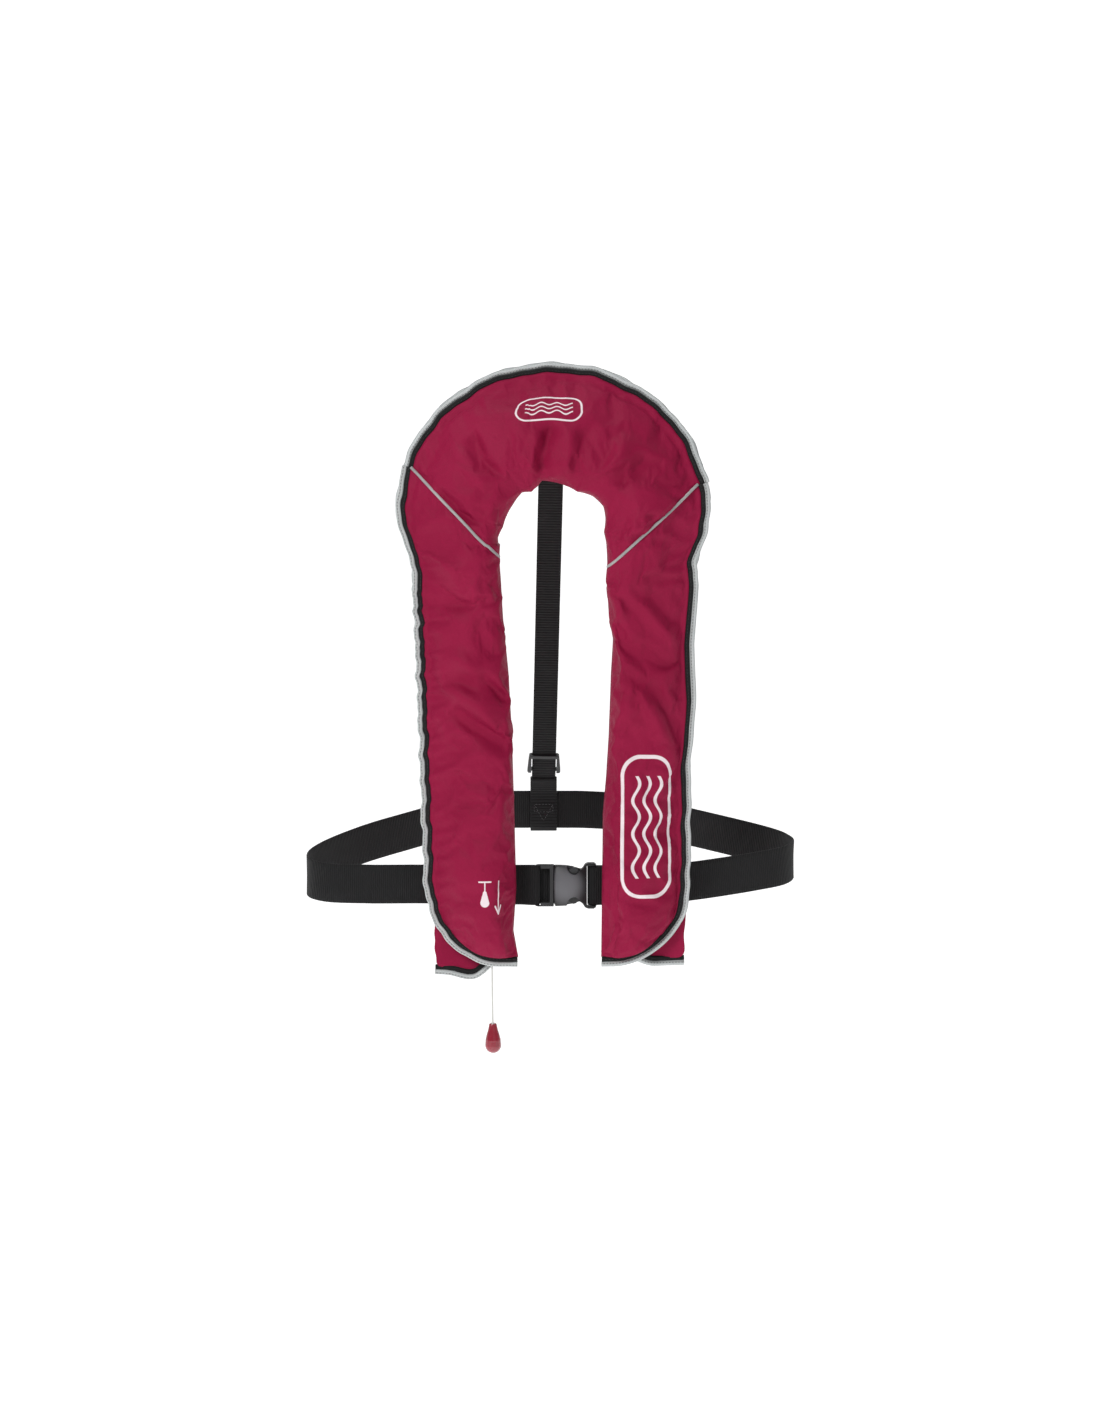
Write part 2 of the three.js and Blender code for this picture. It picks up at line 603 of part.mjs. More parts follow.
const FLANGE_THICK = 1.4;
const flangeY = BODY_Y + INFLATOR_DEPTH / 2 + GAP;
const stemLow = BODY_Y - INFLATOR_DEPTH / 2 - 3.4;
function manifoldValve() {
  const plate = rod("y", 19, FLANGE_THICK, LEVER_X, flangeY + FLANGE_THICK / 2, STEM_Z, 28);
  const long = flangeY - stemLow + 0.5;
  const stem = rod("y", STEM_DIA / 2, long, LEVER_X, stemLow + long / 2, STEM_Z, 16);
  return join(plate, stem);
}
add("manifold_valve", manifoldValve(), LOOKS.steel);
const nutTop = BODY_Y - INFLATOR_DEPTH / 2 - GAP;
const nut = rod("y", 6.5, 3, LEVER_X, nutTop - 1.5, STEM_Z, 6);
add("stem_nut", cut(nut, rod("y", STEM_DIA / 2 + GAP, 10, LEVER_X, nutTop, STEM_Z, 16)), LOOKS.steel);

// ---- The pull cord and toggle ----
const [TOGGLE_X, TOGGLE_Y, TOGGLE_Z] = TOGGLE_TOP;
const leverTip = vec(LEVER_REACH, 0, 0).applyAxisAngle(vec(0, 1, 0), -degrees(LEVER_REST));
const cordTop = vec(LEVER_X + leverTip.x, BODY_Y, LEVER_Z + leverTip.z - 6.5);
const toggleTop = vec(...TOGGLE_TOP);
const cordWay = toggleTop.clone().sub(cordTop).normalize();
const cordEnd = toggleTop.clone().addScaledVector(cordWay, 9);
const cordPoints = [0, 0.33, 0.67, 1].map((t) => cordTop.clone().lerp(cordEnd, t));
add("pull_cord", swept(disc(CORD_DIA), cordPoints, 12, 4), LOOKS.cord);

function toggle() {
  const r = TOGGLE_DIA / 2;
  const bore = CORD_DIA / 2 + GAP;
  const profile = new THREE.Path();
  profile.moveTo(0, -10);
  profile.lineTo(bore, -10);
  profile.lineTo(bore, 0);
  profile.lineTo(3.2, 0);
  profile.quadraticCurveTo(4, -0.2, 4.1, -2);
  profile.bezierCurveTo(5.2, -10, r, -13, r, -TOGGLE_LONG + r);
  profile.absellipse(0, -TOGGLE_LONG + r, r, r, 0, -Math.PI / 2, true);
  const points = profile.getPoints(4).map((p) => new THREE.Vector2(Math.max(0, p.x), p.y));
  const made = new THREE.LatheGeometry(points.reverse(), 16).rotateX(Math.PI / 2);
  const turn = new THREE.Quaternion().setFromUnitVectors(vec(0, 0, -1), cordWay);
  return made.applyQuaternion(turn).translate(TOGGLE_X, TOGGLE_Y, TOGGLE_Z);
}
add("pull_toggle", toggle(), LOOKS.toggle);

// ---- The oral tube and whistle, in the left lobe ----
const TUBE_X = 80;
const TUBE_Z = -330;
const TUBE_DIA = 11;
const TUBE_Y = LOBE_Y - 8;
const TUBE_TOP = -240;
const CHAMBER_FRONT = LOBE_Y + 1.8; // the packed chamber's front there

function oralTube() {
  const points = [
    vec(TUBE_X, CHAMBER_FRONT - FLANGE_THICK - GAP, TUBE_Z),
    vec(TUBE_X, TUBE_Y + 2, TUBE_Z + 4),
    vec(TUBE_X, TUBE_Y, TUBE_Z + 14),
    vec(TUBE_X, TUBE_Y, TUBE_Z + 50),
    vec(TUBE_X, TUBE_Y, TUBE_TOP),
  ];
  return swept(disc(TUBE_DIA), points, 14, 4);
}
const oralFlange = rod("y", 17, FLANGE_THICK, TUBE_X, CHAMBER_FRONT - FLANGE_THICK / 2, TUBE_Z, 24);
add("oral_flange", oralFlange, LOOKS.webbing);
const behindFlange = block(0, 200, CHAMBER_FRONT - FLANGE_THICK - GAP, 60, -500, -200);
add("oral_tube", cut(oralTube(), behindFlange), LOOKS.webbing);

const VALVE_LONG = 24;
const valveLow = TUBE_TOP + GAP;
const POPPET_TRAVEL = 4;
const valve = rod("z", 7.5, VALVE_LONG, TUBE_X, TUBE_Y, valveLow + VALVE_LONG / 2, 20);
const bore = rod("z", 5, VALVE_LONG, TUBE_X, TUBE_Y, valveLow + VALVE_LONG / 2 + 6, 16);
add("oral_valve_body", cut(valve, bore), LOOKS.webbing);
const poppetLow = valveLow + 6 + POPPET_TRAVEL + GAP;
add("oral_valve_poppet", rod("z", 4.4, 12, TUBE_X, TUBE_Y, poppetLow + 6, 16), LOOKS.toggle);
const capLow = valveLow + VALVE_LONG - 12;
const capOut = rod("z", 9.4, 17, TUBE_X, TUBE_Y, capLow + 8.5, 20);
const capIn = rod("z", 7.5 + GAP, 15, TUBE_X, TUBE_Y, capLow + 7.4, 20);
add("mouthpiece_cap", cut(capOut, capIn), LOOKS.webbing);

const WHISTLE_X = 100;
const WHISTLE_Y = LOBE_Y - 5;
const WHISTLE_Z = [-318, -280];
function whistle() {
  const made = block(WHISTLE_X - 6.5, WHISTLE_X + 6.5, WHISTLE_Y - 3.4, WHISTLE_Y + 3.4, ...WHISTLE_Z);
  const mouth = block(WHISTLE_X - 5, WHISTLE_X + 5, WHISTLE_Y - 2, WHISTLE_Y + 2, -300, WHISTLE_Z[1] + 5);
  const window = block(WHISTLE_X - 5, WHISTLE_X + 5, WHISTLE_Y - 5, WHISTLE_Y, -306, -299);
  const eye = rod("y", 1.5, 12, WHISTLE_X, WHISTLE_Y, WHISTLE_Z[0] + 4, 12);
  return cut(made, mouth, window, eye);
}
add("whistle", whistle(), LOOKS.whistle);
const lanyardPoints = [
  vec(WHISTLE_X - 1, WHISTLE_Y, WHISTLE_Z[0] - 1.6),
  vec(WHISTLE_X - 5, WHISTLE_Y, -326),
  vec(WHISTLE_X - 9, WHISTLE_Y, -322),
  vec(TUBE_X + 7, TUBE_Y + 1, -306),
];
add("whistle_lanyard", swept(disc(CORD_DIA), lanyardPoints, 12, 4), LOOKS.cord);

// ---- The waist belt ----
const up = vec(0, 0, 1);
const beltZ = (y) => BELT_Z + BELT_TILT * Math.max(0, y - BELT_FRONT_Y - 6);
// A ribbon stood on edge along plan points, rising to the back.
function beltRun(points, samples, width = BELT_WIDE) {
  const curve = new THREE.CatmullRomCurve3(points.map(([x, y]) => vec(x, y, beltZ(y))), false, "centripetal");
  const stations = Array.from({ length: samples + 1 }, (_, i) => {
    const t = curve.getTangent(i / samples);
    const n = t.clone().cross(up).normalize();
    return { p: curve.getPoint(i / samples), w: up, n };
  });
  return ribbon(stations, width, WEB_THICK);
}
const FEMALE_BAR = [BUCKLE_X + 37, BUCKLE_X + 40.5]; // the female body's webbing bar
const MALE_BAR = [BUCKLE_X - ADJUSTER_LONG, BUCKLE_X - ADJUSTER_LONG + 3.5]; // the male frame's
const RUN_BACK = 5.2; // how far behind the buckle's middle the belt's right run passes
const WRAP = 3; // bar's middle plane out to the webbing round it
const rearY = BELT_BACK_Y;
const frontY = BELT_FRONT_Y;
const runY = frontY + RUN_BACK;
const beltPoints = [
  [64, frontY + WRAP], [FEMALE_BAR[1] + 1, frontY + WRAP], [FEMALE_BAR[0] + 1, frontY + WRAP],
  [FEMALE_BAR[0] - 2.6, frontY], [FEMALE_BAR[0] + 1, frontY - WRAP], [FEMALE_BAR[1] + 1, frontY - WRAP],
  [56, frontY - 1], [66, frontY], [100, frontY], [BELT_BEND, frontY + 13],
  [205, frontY + 39], [238, frontY + 57], [BELT_HALF, frontY + 74], [240, frontY + 91],
  [226, frontY + 106], [138, frontY + 166], [80, rearY - 10], [34, rearY - 0.6],
  [12, rearY], [-32, rearY], [-52, rearY - 0.6], [-94, rearY - 10],
  [-134, frontY + 165], [-196, frontY + 114], [-238, frontY + 66], [-BELT_HALF - 2, frontY + 40],
  [-247, frontY + 23], [-230, frontY + 11], [-190, runY + 1], [-BELT_BEND, runY + 1],
  [-100, runY], [-60, runY], [-30, runY], [BUCKLE_X + 5, runY],
];
add("waist_belt", beltRun(beltPoints, 3 * (beltPoints.length - 1)), LOOKS.webbing);
const wrapPoints = [
  [-44, frontY + WRAP], [-32, frontY + WRAP], [MALE_BAR[0] - 1, frontY + WRAP],
  [MALE_BAR[1] - 1, frontY + WRAP], [MALE_BAR[1] + 2.4, frontY], [MALE_BAR[1] - 1, frontY - WRAP],
  [MALE_BAR[0] - 1, frontY - WRAP],
  [-28, frontY - 1], [-34, frontY + 0.2], [-42, frontY + 0.2],
];
add("belt_wrap", beltRun(wrapPoints, 3 * (wrapPoints.length - 1)), LOOKS.webbing);

// Loops behind the lobes that keep the belt in place.
for (const [name, side] of Object.entries(SIDES)) {
  const x = side.sign * 84;
  const y = frontY + (side.sign < 0 ? RUN_BACK : 0);
  const tall = BELT_WIDE / 2 + 3;
  const front = drape(84, BELT_Z) + REAR_SWELL + 1;
  const outside = block(x - 12, x + 12, front, y + WEB_THICK + 3, BELT_Z - tall, BELT_Z + tall);
  const room = WEB_THICK / 2 + GAP * 2;
  const high = BELT_WIDE / 2 + 1;
  const inside = block(x - 20, x + 20, y - room, y + room, BELT_Z - high, BELT_Z + high);
  add(`${name}_belt_loop`, cut(outside, inside), LOOKS.webbing);
}

// ---- The buckle ----
const BUCKLE_HALF = BELT_WIDE / 2 + BUCKLE_RIM;
const yFront = frontY - BUCKLE_THICK / 2;
const yBack = frontY + BUCKLE_THICK / 2 - 2.6;

function buckleFemale() {
  const mouth = BUCKLE_HALF - 1.6;
  const waist = BUCKLE_HALF - 5.6;
  const flare = BUCKLE_HALF + 1;
  const neck = BUCKLE_X + 29;
  const end = BUCKLE_X + 43;
  const edge = [
    [0, mouth - 3], [1.2, mouth], [12, mouth - 0.4], [19, mouth - 1.6], [24.5, waist + 0.6],
    [27, waist], [29, waist + 1.6], [31, BUCKLE_HALF - 0.6], [33, flare - 0.4], [35, flare], [40, flare],
    [42, flare - 1.2], [43, flare - 4],
  ];
  const outline = edge.map(([x, z]) => new THREE.Vector2(BUCKLE_X + x, z));
  const below = edge.map(([x, z]) => new THREE.Vector2(BUCKLE_X + x, -z)).reverse();
  const shape = new THREE.Shape([...below, ...outline]);
  const body = pillow(shape, yFront, yBack, BUCKLE_EDGE);
  const inner = BUCKLE_HALF - 1.6 - BUCKLE_WALL;
  const hollow = block(
    BUCKLE_X - 5, BUCKLE_X + 26.6,
    yFront + BUCKLE_WALL, yBack - BUCKLE_WALL, -inner + 0.9, inner - 0.9,
  );
  const sideway = BUCKLE_HALF + 3;
  const window = block(BUCKLE_X + 13, BUCKLE_X + 26.5, yFront + 2, yBack - 1.4, -sideway, sideway);
  const leaf = (sign) => {
    const cutout = new THREE.Shape();
    cutout.moveTo(BUCKLE_X + 12.5, sign * (mouth - 2));
    cutout.quadraticCurveTo(BUCKLE_X + 15, sign * (waist - 6.4), neck - 7, sign * (waist - 5.4));
    cutout.quadraticCurveTo(neck - 3, sign * (waist - 3), neck - 2.2, sign * (waist + 1));
    cutout.lineTo(neck - 2.2, sign * sideway);
    cutout.lineTo(BUCKLE_X + 12.5, sign * sideway);
    return slab(cutout, yFront - 3, yFront + BUCKLE_WALL + 0.6, 5);
  };
  const web = BELT_WIDE / 2 + 0.6;
  const slot = block(FEMALE_BAR[0] - 3.9, FEMALE_BAR[0], yFront - 5, yBack + 9, -web, web);
  const seat = block(FEMALE_BAR[0] - 1, end + 5, frontY + 1.6, yBack + 9, -web, web);
  const faceSeat = block(FEMALE_BAR[0] - 1, end + 5, yFront - 5, frontY - 1.6, -web, web);
  return cut(body, hollow, window, leaf(1), leaf(-1), slot, seat, faceSeat).translate(0, 0, BELT_Z);
}
add("buckle_female", buckleFemale(), LOOKS.plastic);

function buckleMale() {
  const x0 = BUCKLE_X - ADJUSTER_LONG;
  const x1 = BUCKLE_X - GAP;
  const h = BUCKLE_HALF - 1;
  const r = 5;
  const shape = new THREE.Shape();
  shape.moveTo(x0 + r, -h);
  shape.lineTo(x1, -h);
  shape.lineTo(x1, h);
  shape.lineTo(x0 + r, h);
  shape.absarc(x0 + r, h - r, r, Math.PI / 2, Math.PI, false);
  shape.lineTo(x0, -h + r);
  shape.absarc(x0 + r, -h + r, r, Math.PI, 1.5 * Math.PI, false);
  const frame = pillow(shape, frontY - 3.6, frontY + 1.8, 0.9);
  const guide = block(x1 - 2, BUCKLE_X + 20, frontY - 2, frontY + 1, -4, 4);
  const web = BELT_WIDE / 2 + 0.5;
  const window = block(MALE_BAR[1], MALE_BAR[1] + 3.8, frontY - 9, frontY + 9, -web, web);
  const eye = block(MALE_BAR[1], x1 - 4, frontY - 9, frontY + 9, -web + 3, web - 3);
  const faceSeat = block(x0 - 1, MALE_BAR[1] + 1, frontY - 9, frontY - 1.4, -web, web);
  const backSeat = block(x0 - 1, MALE_BAR[1] + 1, frontY + 1.3, frontY + 9, -web, web);
  return cut(join(frame, guide), window, eye, faceSeat, backSeat).translate(0, 0, BELT_Z);
}
add("buckle_male", buckleMale(), LOOKS.plastic);

function prong(sign) {
  const x0 = BUCKLE_X + GAP;
  const tip = BUCKLE_X + ARM_LONG;
  const low = 10;
  const high = 14.5;
  const shape = new THREE.Shape();
  shape.moveTo(x0, low + 1);
  shape.lineTo(x0 + 12, low + 1);
  shape.lineTo(tip - 2, low);
  shape.quadraticCurveTo(tip, low + 1, tip, high - 1);
  shape.quadraticCurveTo(tip - 1, high + 4.6, tip - 6, high + 4.4);
  shape.lineTo(x0 + 13, high + 0.6);
  shape.lineTo(x0, high);
  const made = slab(shape, frontY - 2.4, frontY + 0.8, 3);
  return (sign < 0 ? made.rotateX(Math.PI).translate(0, 2 * frontY - 1.6, 0) : made).translate(0, 0, BELT_Z);
}
add("prong_upper", prong(1), LOOKS.plastic);
add("prong_lower", prong(-1), LOOKS.plastic);

// ---- The back strap ----
const strapFoot = vec(-10, BELT_BACK_Y - 12, beltZ(BELT_BACK_Y) + BELT_WIDE / 2 + 14);
const strapHead = vec(...STRAP_TOP);
const strapWay = strapFoot.clone().sub(strapHead).normalize();
const strapAcross = vec(1, 0, 0).addScaledVector(strapWay, -strapWay.x).normalize();
const strapOut = strapAcross.clone().cross(strapWay).normalize();
const strapStations = Array.from({ length: 9 }, (_, i) => ({
  p: strapHead.clone().lerp(strapFoot, i / 8),
  w: strapAcross,
  n: strapOut,
}));
add("back_strap", ribbon(strapStations, STRAP_WIDE, WEB_THICK), LOOKS.webbing);

// A piece placed along the strap: local X across it, local Y out of it, local Z up it.
function onStrap(geometry, share) {
  const frame = new THREE.Matrix4().makeBasis(strapAcross, strapOut, strapWay.clone().negate());
  return geometry.applyMatrix4(frame).translate(...strapHead.clone().lerp(strapFoot, share).toArray());
}
function strapSlider() {
  const low = STRAP_WIDE / 2 + 5;
  const high = STRAP_WIDE / 2 + 3.6;
  const tall = 11.5;
  const thick = 3.2;
  const shape = new THREE.Shape();
  shape.moveTo(-low + 2, -tall);
  shape.lineTo(low - 2, -tall);
  shape.quadraticCurveTo(low, -tall, low, -tall + 3);
  shape.lineTo(high, tall - 3);
  shape.quadraticCurveTo(high, tall, high - 3, tall);
  shape.lineTo(-high + 3, tall);
  shape.quadraticCurveTo(-high, tall, -high, tall - 3);
  shape.lineTo(-low, -tall + 3);
  shape.quadraticCurveTo(-low, -tall, -low + 2, -tall);
  const frame = pillow(shape, -thick, thick, 0.9);
  const web = STRAP_WIDE / 2 + 0.8;
  const tunnel = block(-web, web, -WEB_THICK / 2 - GAP, WEB_THICK / 2 + GAP, -tall - 5, tall + 5);
  const front = block(-web, web, -thick - 5, 0, -tall - 5, tall - 4);
  const back = block(-web, web, 0, thick + 5, -tall + 4, tall - 4);
  return cut(frame, tunnel, front, back);
}
add("strap_slider", onStrap(strapSlider(), SLIDER_SHARE), LOOKS.plastic);

// The loop that the belt hangs in: a band down the belt's front, under it and up its back to the strap.
function hangerLoop() {
  const half = BELT_WIDE / 2 + 2.4;
  const y = BELT_BACK_Y;
  const z = beltZ(BELT_BACK_Y);
  const gap = WEB_THICK * 1.5 + GAP;
  const join = strapFoot.clone().addScaledVector(strapOut, -WEB_THICK - GAP);
  const over = strapFoot.clone().addScaledVector(strapOut, WEB_THICK + GAP);
  const [near, far] = join.y < over.y ? [join, over] : [over, join];
  const lap = strapWay.clone().multiplyScalar(-HANGER_LAP);
  const points = [
    near.clone().add(lap), near.clone(), vec(-10, y - gap - 1, z + half - 4), vec(-10, y - gap, z),
    vec(-10, y - gap, z - half + 4), vec(-10, y, z - half), vec(-10, y + gap, z - half + 4),
    vec(-10, y + gap, z), vec(-10, y + gap, z + half - 2), far.clone(), far.clone().add(lap),
  ];
  const curve = new THREE.CatmullRomCurve3(points, false, "centripetal");
  const count = 34;
  const stations = Array.from({ length: count + 1 }, (_, i) => {
    const t = curve.getTangentAt(i / count);
    return { p: curve.getPointAt(i / count), w: vec(1, 0, 0), n: t.clone().cross(vec(1, 0, 0)).normalize() };
  });
  return ribbon(stations, STRAP_LOOP_WIDE, WEB_THICK);
}
add("hanger_loop", hangerLoop(), LOOKS.webbing);

export default jacket;
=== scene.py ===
import bpy
import math
import numpy as np
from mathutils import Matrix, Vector


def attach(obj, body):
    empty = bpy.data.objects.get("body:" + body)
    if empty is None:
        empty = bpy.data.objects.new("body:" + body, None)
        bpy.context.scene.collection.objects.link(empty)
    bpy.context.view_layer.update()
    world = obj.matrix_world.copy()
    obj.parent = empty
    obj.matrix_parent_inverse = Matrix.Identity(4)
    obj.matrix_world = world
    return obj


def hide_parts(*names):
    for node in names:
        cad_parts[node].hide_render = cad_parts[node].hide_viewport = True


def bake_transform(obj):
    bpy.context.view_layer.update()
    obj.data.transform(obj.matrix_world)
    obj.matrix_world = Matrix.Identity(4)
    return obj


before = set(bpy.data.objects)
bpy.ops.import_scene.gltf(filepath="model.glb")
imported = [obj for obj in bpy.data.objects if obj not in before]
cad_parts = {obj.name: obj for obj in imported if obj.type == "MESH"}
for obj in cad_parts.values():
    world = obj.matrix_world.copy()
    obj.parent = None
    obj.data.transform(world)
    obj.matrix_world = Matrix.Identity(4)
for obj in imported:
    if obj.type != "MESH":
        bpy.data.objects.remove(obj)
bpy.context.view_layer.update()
MM = 0.001
scene = bpy.context.scene

# ---- Camera, floor and light ----
# At the jacket's distance the view is 1.423 m tall, seen from a little above.
VIEW_TALL = 1.423
LOOK_DOWN = math.radians(7.5)
DISTANCE = 3.9
AIM = Vector((-0.0032, 0.0, -0.2278))


def make_camera():
    lens = bpy.data.cameras.new("camera")
    lens.sensor_width = 36
    lens.lens = 36 * DISTANCE / VIEW_TALL
    camera = bpy.data.objects.new("camera", lens)
    scene.collection.objects.link(camera)
    back = Vector((0, -math.cos(LOOK_DOWN), math.sin(LOOK_DOWN)))
    camera.location = AIM + back * DISTANCE
    camera.rotation_euler = (-back).to_track_quat("-Z", "Y").to_euler()
    scene.camera = camera


def make_light(name, place, aim, size, watts):
    lamp = bpy.data.lights.new(name, "AREA")
    lamp.shape, lamp.size, lamp.size_y = "RECTANGLE", size[0], size[1]
    lamp.energy = watts
    light = bpy.data.objects.new(name, lamp)
    scene.collection.objects.link(light)
    light.location = place
    light.rotation_euler = (Vector(aim) - Vector(place)).to_track_quat("-Z", "Y").to_euler()


def mesh_object(name, points, faces):
    mesh = bpy.data.meshes.new(name)
    mesh.from_pydata([tuple(map(float, p)) for p in points], [], [tuple(map(int, f)) for f in faces])
    mesh.validate()
    mesh.update()
    mesh.polygons.foreach_set("use_smooth", [True] * len(mesh.polygons))
    made = bpy.data.objects.new(name, mesh)
    scene.collection.objects.link(made)
    return made


# ---- Shader building ----
def linear(red, green, blue):
    """A colour from its 0 to 255 screen values."""
    out = []
    for c in (red, green, blue):
        c /= 255
        out.append(c / 12.92 if c <= 0.04045 else ((c + 0.055) / 1.055) ** 2.4)
    return (*out, 1.0)


class Field:
    """A number that varies over a surface: arithmetic on it adds Math nodes."""

    def __init__(self, finish, socket):
        self.finish, self.socket = finish, socket

    def maths(self, operation, *others):
        node = self.finish.node("ShaderNodeMath", {"operation": operation}, [self, *others])
        return Field(self.finish, node.outputs[0])

    def __add__(self, other): return self.maths("ADD", other)
    def __sub__(self, other): return self.maths("SUBTRACT", other)
    def __mul__(self, other): return self.maths("MULTIPLY", other)
    def __radd__(self, other): return self.maths("ADD", other)
    def __rmul__(self, other): return self.maths("MULTIPLY", other)
    def __abs__(self): return self.maths("ABSOLUTE")
    def __neg__(self): return self * -1
    def __rsub__(self, other): return -self + other
    def max(self, other): return self.maths("MAXIMUM", other)
    def min(self, other): return self.maths("MINIMUM", other)
    def sin(self): return self.maths("SINE")
    def root(self): return self.maths("SQRT")

    def ramp(self, low, high, out_low=0.0, out_high=1.0):
        """Smoothly from out_low at low to out_high at high."""
        settings = {"interpolation_type": "SMOOTHSTEP"}
        node = self.finish.node("ShaderNodeMapRange", settings, [self, low, high, out_low, out_high])
        return Field(self.finish, node.outputs[0])


class Finish:
    """One material and the nodes behind it."""

    def __init__(self, name, **fixed):
        self.material = bpy.data.materials.new(name)
        self.material.use_nodes = True
        self.tree = self.material.node_tree
        self.shader = self.tree.nodes["Principled BSDF"]
        for socket, value in fixed.items():
            self.shader.inputs[socket.replace("_", " ")].default_value = value

    def node(self, kind, settings=None, inputs=()):
        node = self.tree.nodes.new(kind)
        for key, value in (settings or {}).items():
            setattr(node, key, value)
        pairs = inputs.items() if isinstance(inputs, dict) else enumerate(inputs)
        for key, value in pairs:
            if value is None:
                continue
            if isinstance(value, Field):
                value = value.socket
            if isinstance(value, bpy.types.NodeSocket):
                self.tree.links.new(value, node.inputs[key])
            else:
                node.inputs[key].default_value = value
        return node

    def uv(self):
        return self.node("ShaderNodeUVMap", {"uv_map": "cut"}).outputs[0]

    def place(self):
        return self.node("ShaderNodeTexCoord").outputs["Object"]

    def parts(self, vector):
        node = self.node("ShaderNodeSeparateXYZ", None, [vector])
        return [Field(self, s) for s in node.outputs]

    def noise(self, vector, scale, detail=2.0, rough=0.5):
        inputs = {"Vector": vector, "Scale": scale, "Detail": detail, "Roughness": rough}
        node = self.node("ShaderNodeTexNoise", {"noise_dimensions": "3D"}, inputs)
        return Field(self, node.outputs[0])

    def stretched(self, vector, by):
        return self.node("ShaderNodeVectorMath", {"operation": "MULTIPLY"}, [vector, by]).outputs[0]

    def mix(self, share, one, two):
        settings = {"data_type": "RGBA", "clamp_factor": True}
        return self.node("ShaderNodeMix", settings, {0: share, 6: one, 7: two}).outputs[2]

    def feed(self, socket, value):
        value = value.socket if isinstance(value, Field) else value
        self.tree.links.new(value, self.shader.inputs[socket])

    def bump(self, height, distance):
        inputs = {"Height": height, "Distance": distance, "Strength": 1.0}
        node = self.node("ShaderNodeBump", None, inputs)
        self.tree.links.new(node.outputs[0], self.shader.inputs["Normal"])


# ---- Printed marks: distances in millimetres from drawn lines, on the cut of the cloth ----
def length_of(x, y):
    return (x * x + y * y).root()


def frame_line(x, z, middle, half, corner, stroke):
    across = abs(x - middle[0]) - (half[0] - corner)
    along = abs(z - middle[1]) - (half[1] - corner)
    outside = length_of(across.max(0), along.max(0)) + across.max(along).min(0) - corner
    return abs(outside) - stroke / 2


def wave_line(x, z, start, end, swing, wavelength, stroke, upright):
    along, across = (z, x) if upright else (x, z)
    bend = (along * (2 * math.pi / wavelength)).sin() * swing
    edge = abs(along - (start[0] + end) / 2) - abs(end - start[0]) / 2
    return (abs(across - start[1] - bend) - stroke / 2).max(edge)


def bar(x, z, one, two, stroke):
    """Distance from a straight stroke between two points."""
    dx, dz = two[0] - one[0], two[1] - one[1]
    share = ((x - one[0]) * dx + (z - one[1]) * dz) * (1 / (dx * dx + dz * dz))
    share = share.max(0).min(1)
    return length_of(x - one[0] - share * dx, z - one[1] - share * dz) - stroke / 2


def collar_mark(x, z):
    drawn = frame_line(x, z, (-4.5, 80.5), (33.5, 15), 11, 2.0)
    for level in (86.5, 80.5, 74.5):
        drawn = drawn.min(wave_line(x, z, (-29, level), 20, 1.9, 16.5, 1.8, False))
    return drawn


def lobe_mark(x, z):
    drawn = frame_line(x, z, (94.5, -341.5), (26.5, 70.5), 20, 3.8)
    for line in (82.5, 94.5, 106.5):
        drawn = drawn.min(wave_line(x, z, (-393, line), -290, 3.6, 34, 3.4, True))
    return drawn


def drop(x, z, top, bottom, small, large):
    """Distance from a solid drop that widens downwards."""
    share = ((z - top[1]) * (1 / (bottom[1] - top[1]))).max(0).min(1)
    return length_of(x - top[0], z - top[1] - share * (bottom[1] - top[1])) - share * (large - small) - small


def pull_mark(x, z):
    """A toggle on its cord beside an arrow that points down."""
    drawn = bar(x, z, (-53, -396), (-53, -426), 1.5)
    drawn = drawn.min(bar(x, z, (-53, -429), (-57, -421), 1.7))
    drawn = drawn.min(bar(x, z, (-53, -429), (-49, -421), 1.7))
    drawn = drawn.min(drop(x, z, (-68, -407), (-68, -417), 1.8, 4.6))
    drawn = drawn.min(bar(x, z, (-68, -407), (-68, -396), 1.2))
    return drawn.min(bar(x, z, (-74, -396), (-62, -396), 1.5))


def nylon(name, mark=None):
    """Crimson coated nylon, its printed mark painted on the cut."""
    finish = Finish(name, Specular_IOR_Level=0.08)
    cut = finish.uv()
    x, z, _ = finish.parts(cut)
    x, z = x * 1000, z * 1000
    cloud = finish.noise(cut, 9, 3)
    grain = finish.noise(cut, 520, 2)
    warp = (x * (2 * math.pi / 0.62)).sin()
    weft = (z * (2 * math.pi / 0.62)).sin()
    weave = warp * weft
    colour = finish.mix(cloud.ramp(0.3, 0.7), linear(143, 22, 60), linear(152, 27, 66))
    colour = finish.mix(grain.ramp(0.2, 0.8, 0.0, 0.25), colour, linear(122, 20, 50))
    rough = grain * 0.12 + 0.44
    if mark:
        ink = (1 - mark(x, z).ramp(-0.25, 0.25)) * grain.ramp(0.1, 0.35, 0.82, 1.0)
        colour = finish.mix(ink, colour, linear(240, 226, 230))
        rough = rough - ink * 0.1
    finish.feed("Base Color", colour)
    finish.feed("Roughness", rough)
    soft = finish.noise(cut, 60, 4, 0.6)
    finish.bump(weave * 0.05 + grain * 0.25 + soft * 1.6, 0.0005)
    return finish.material


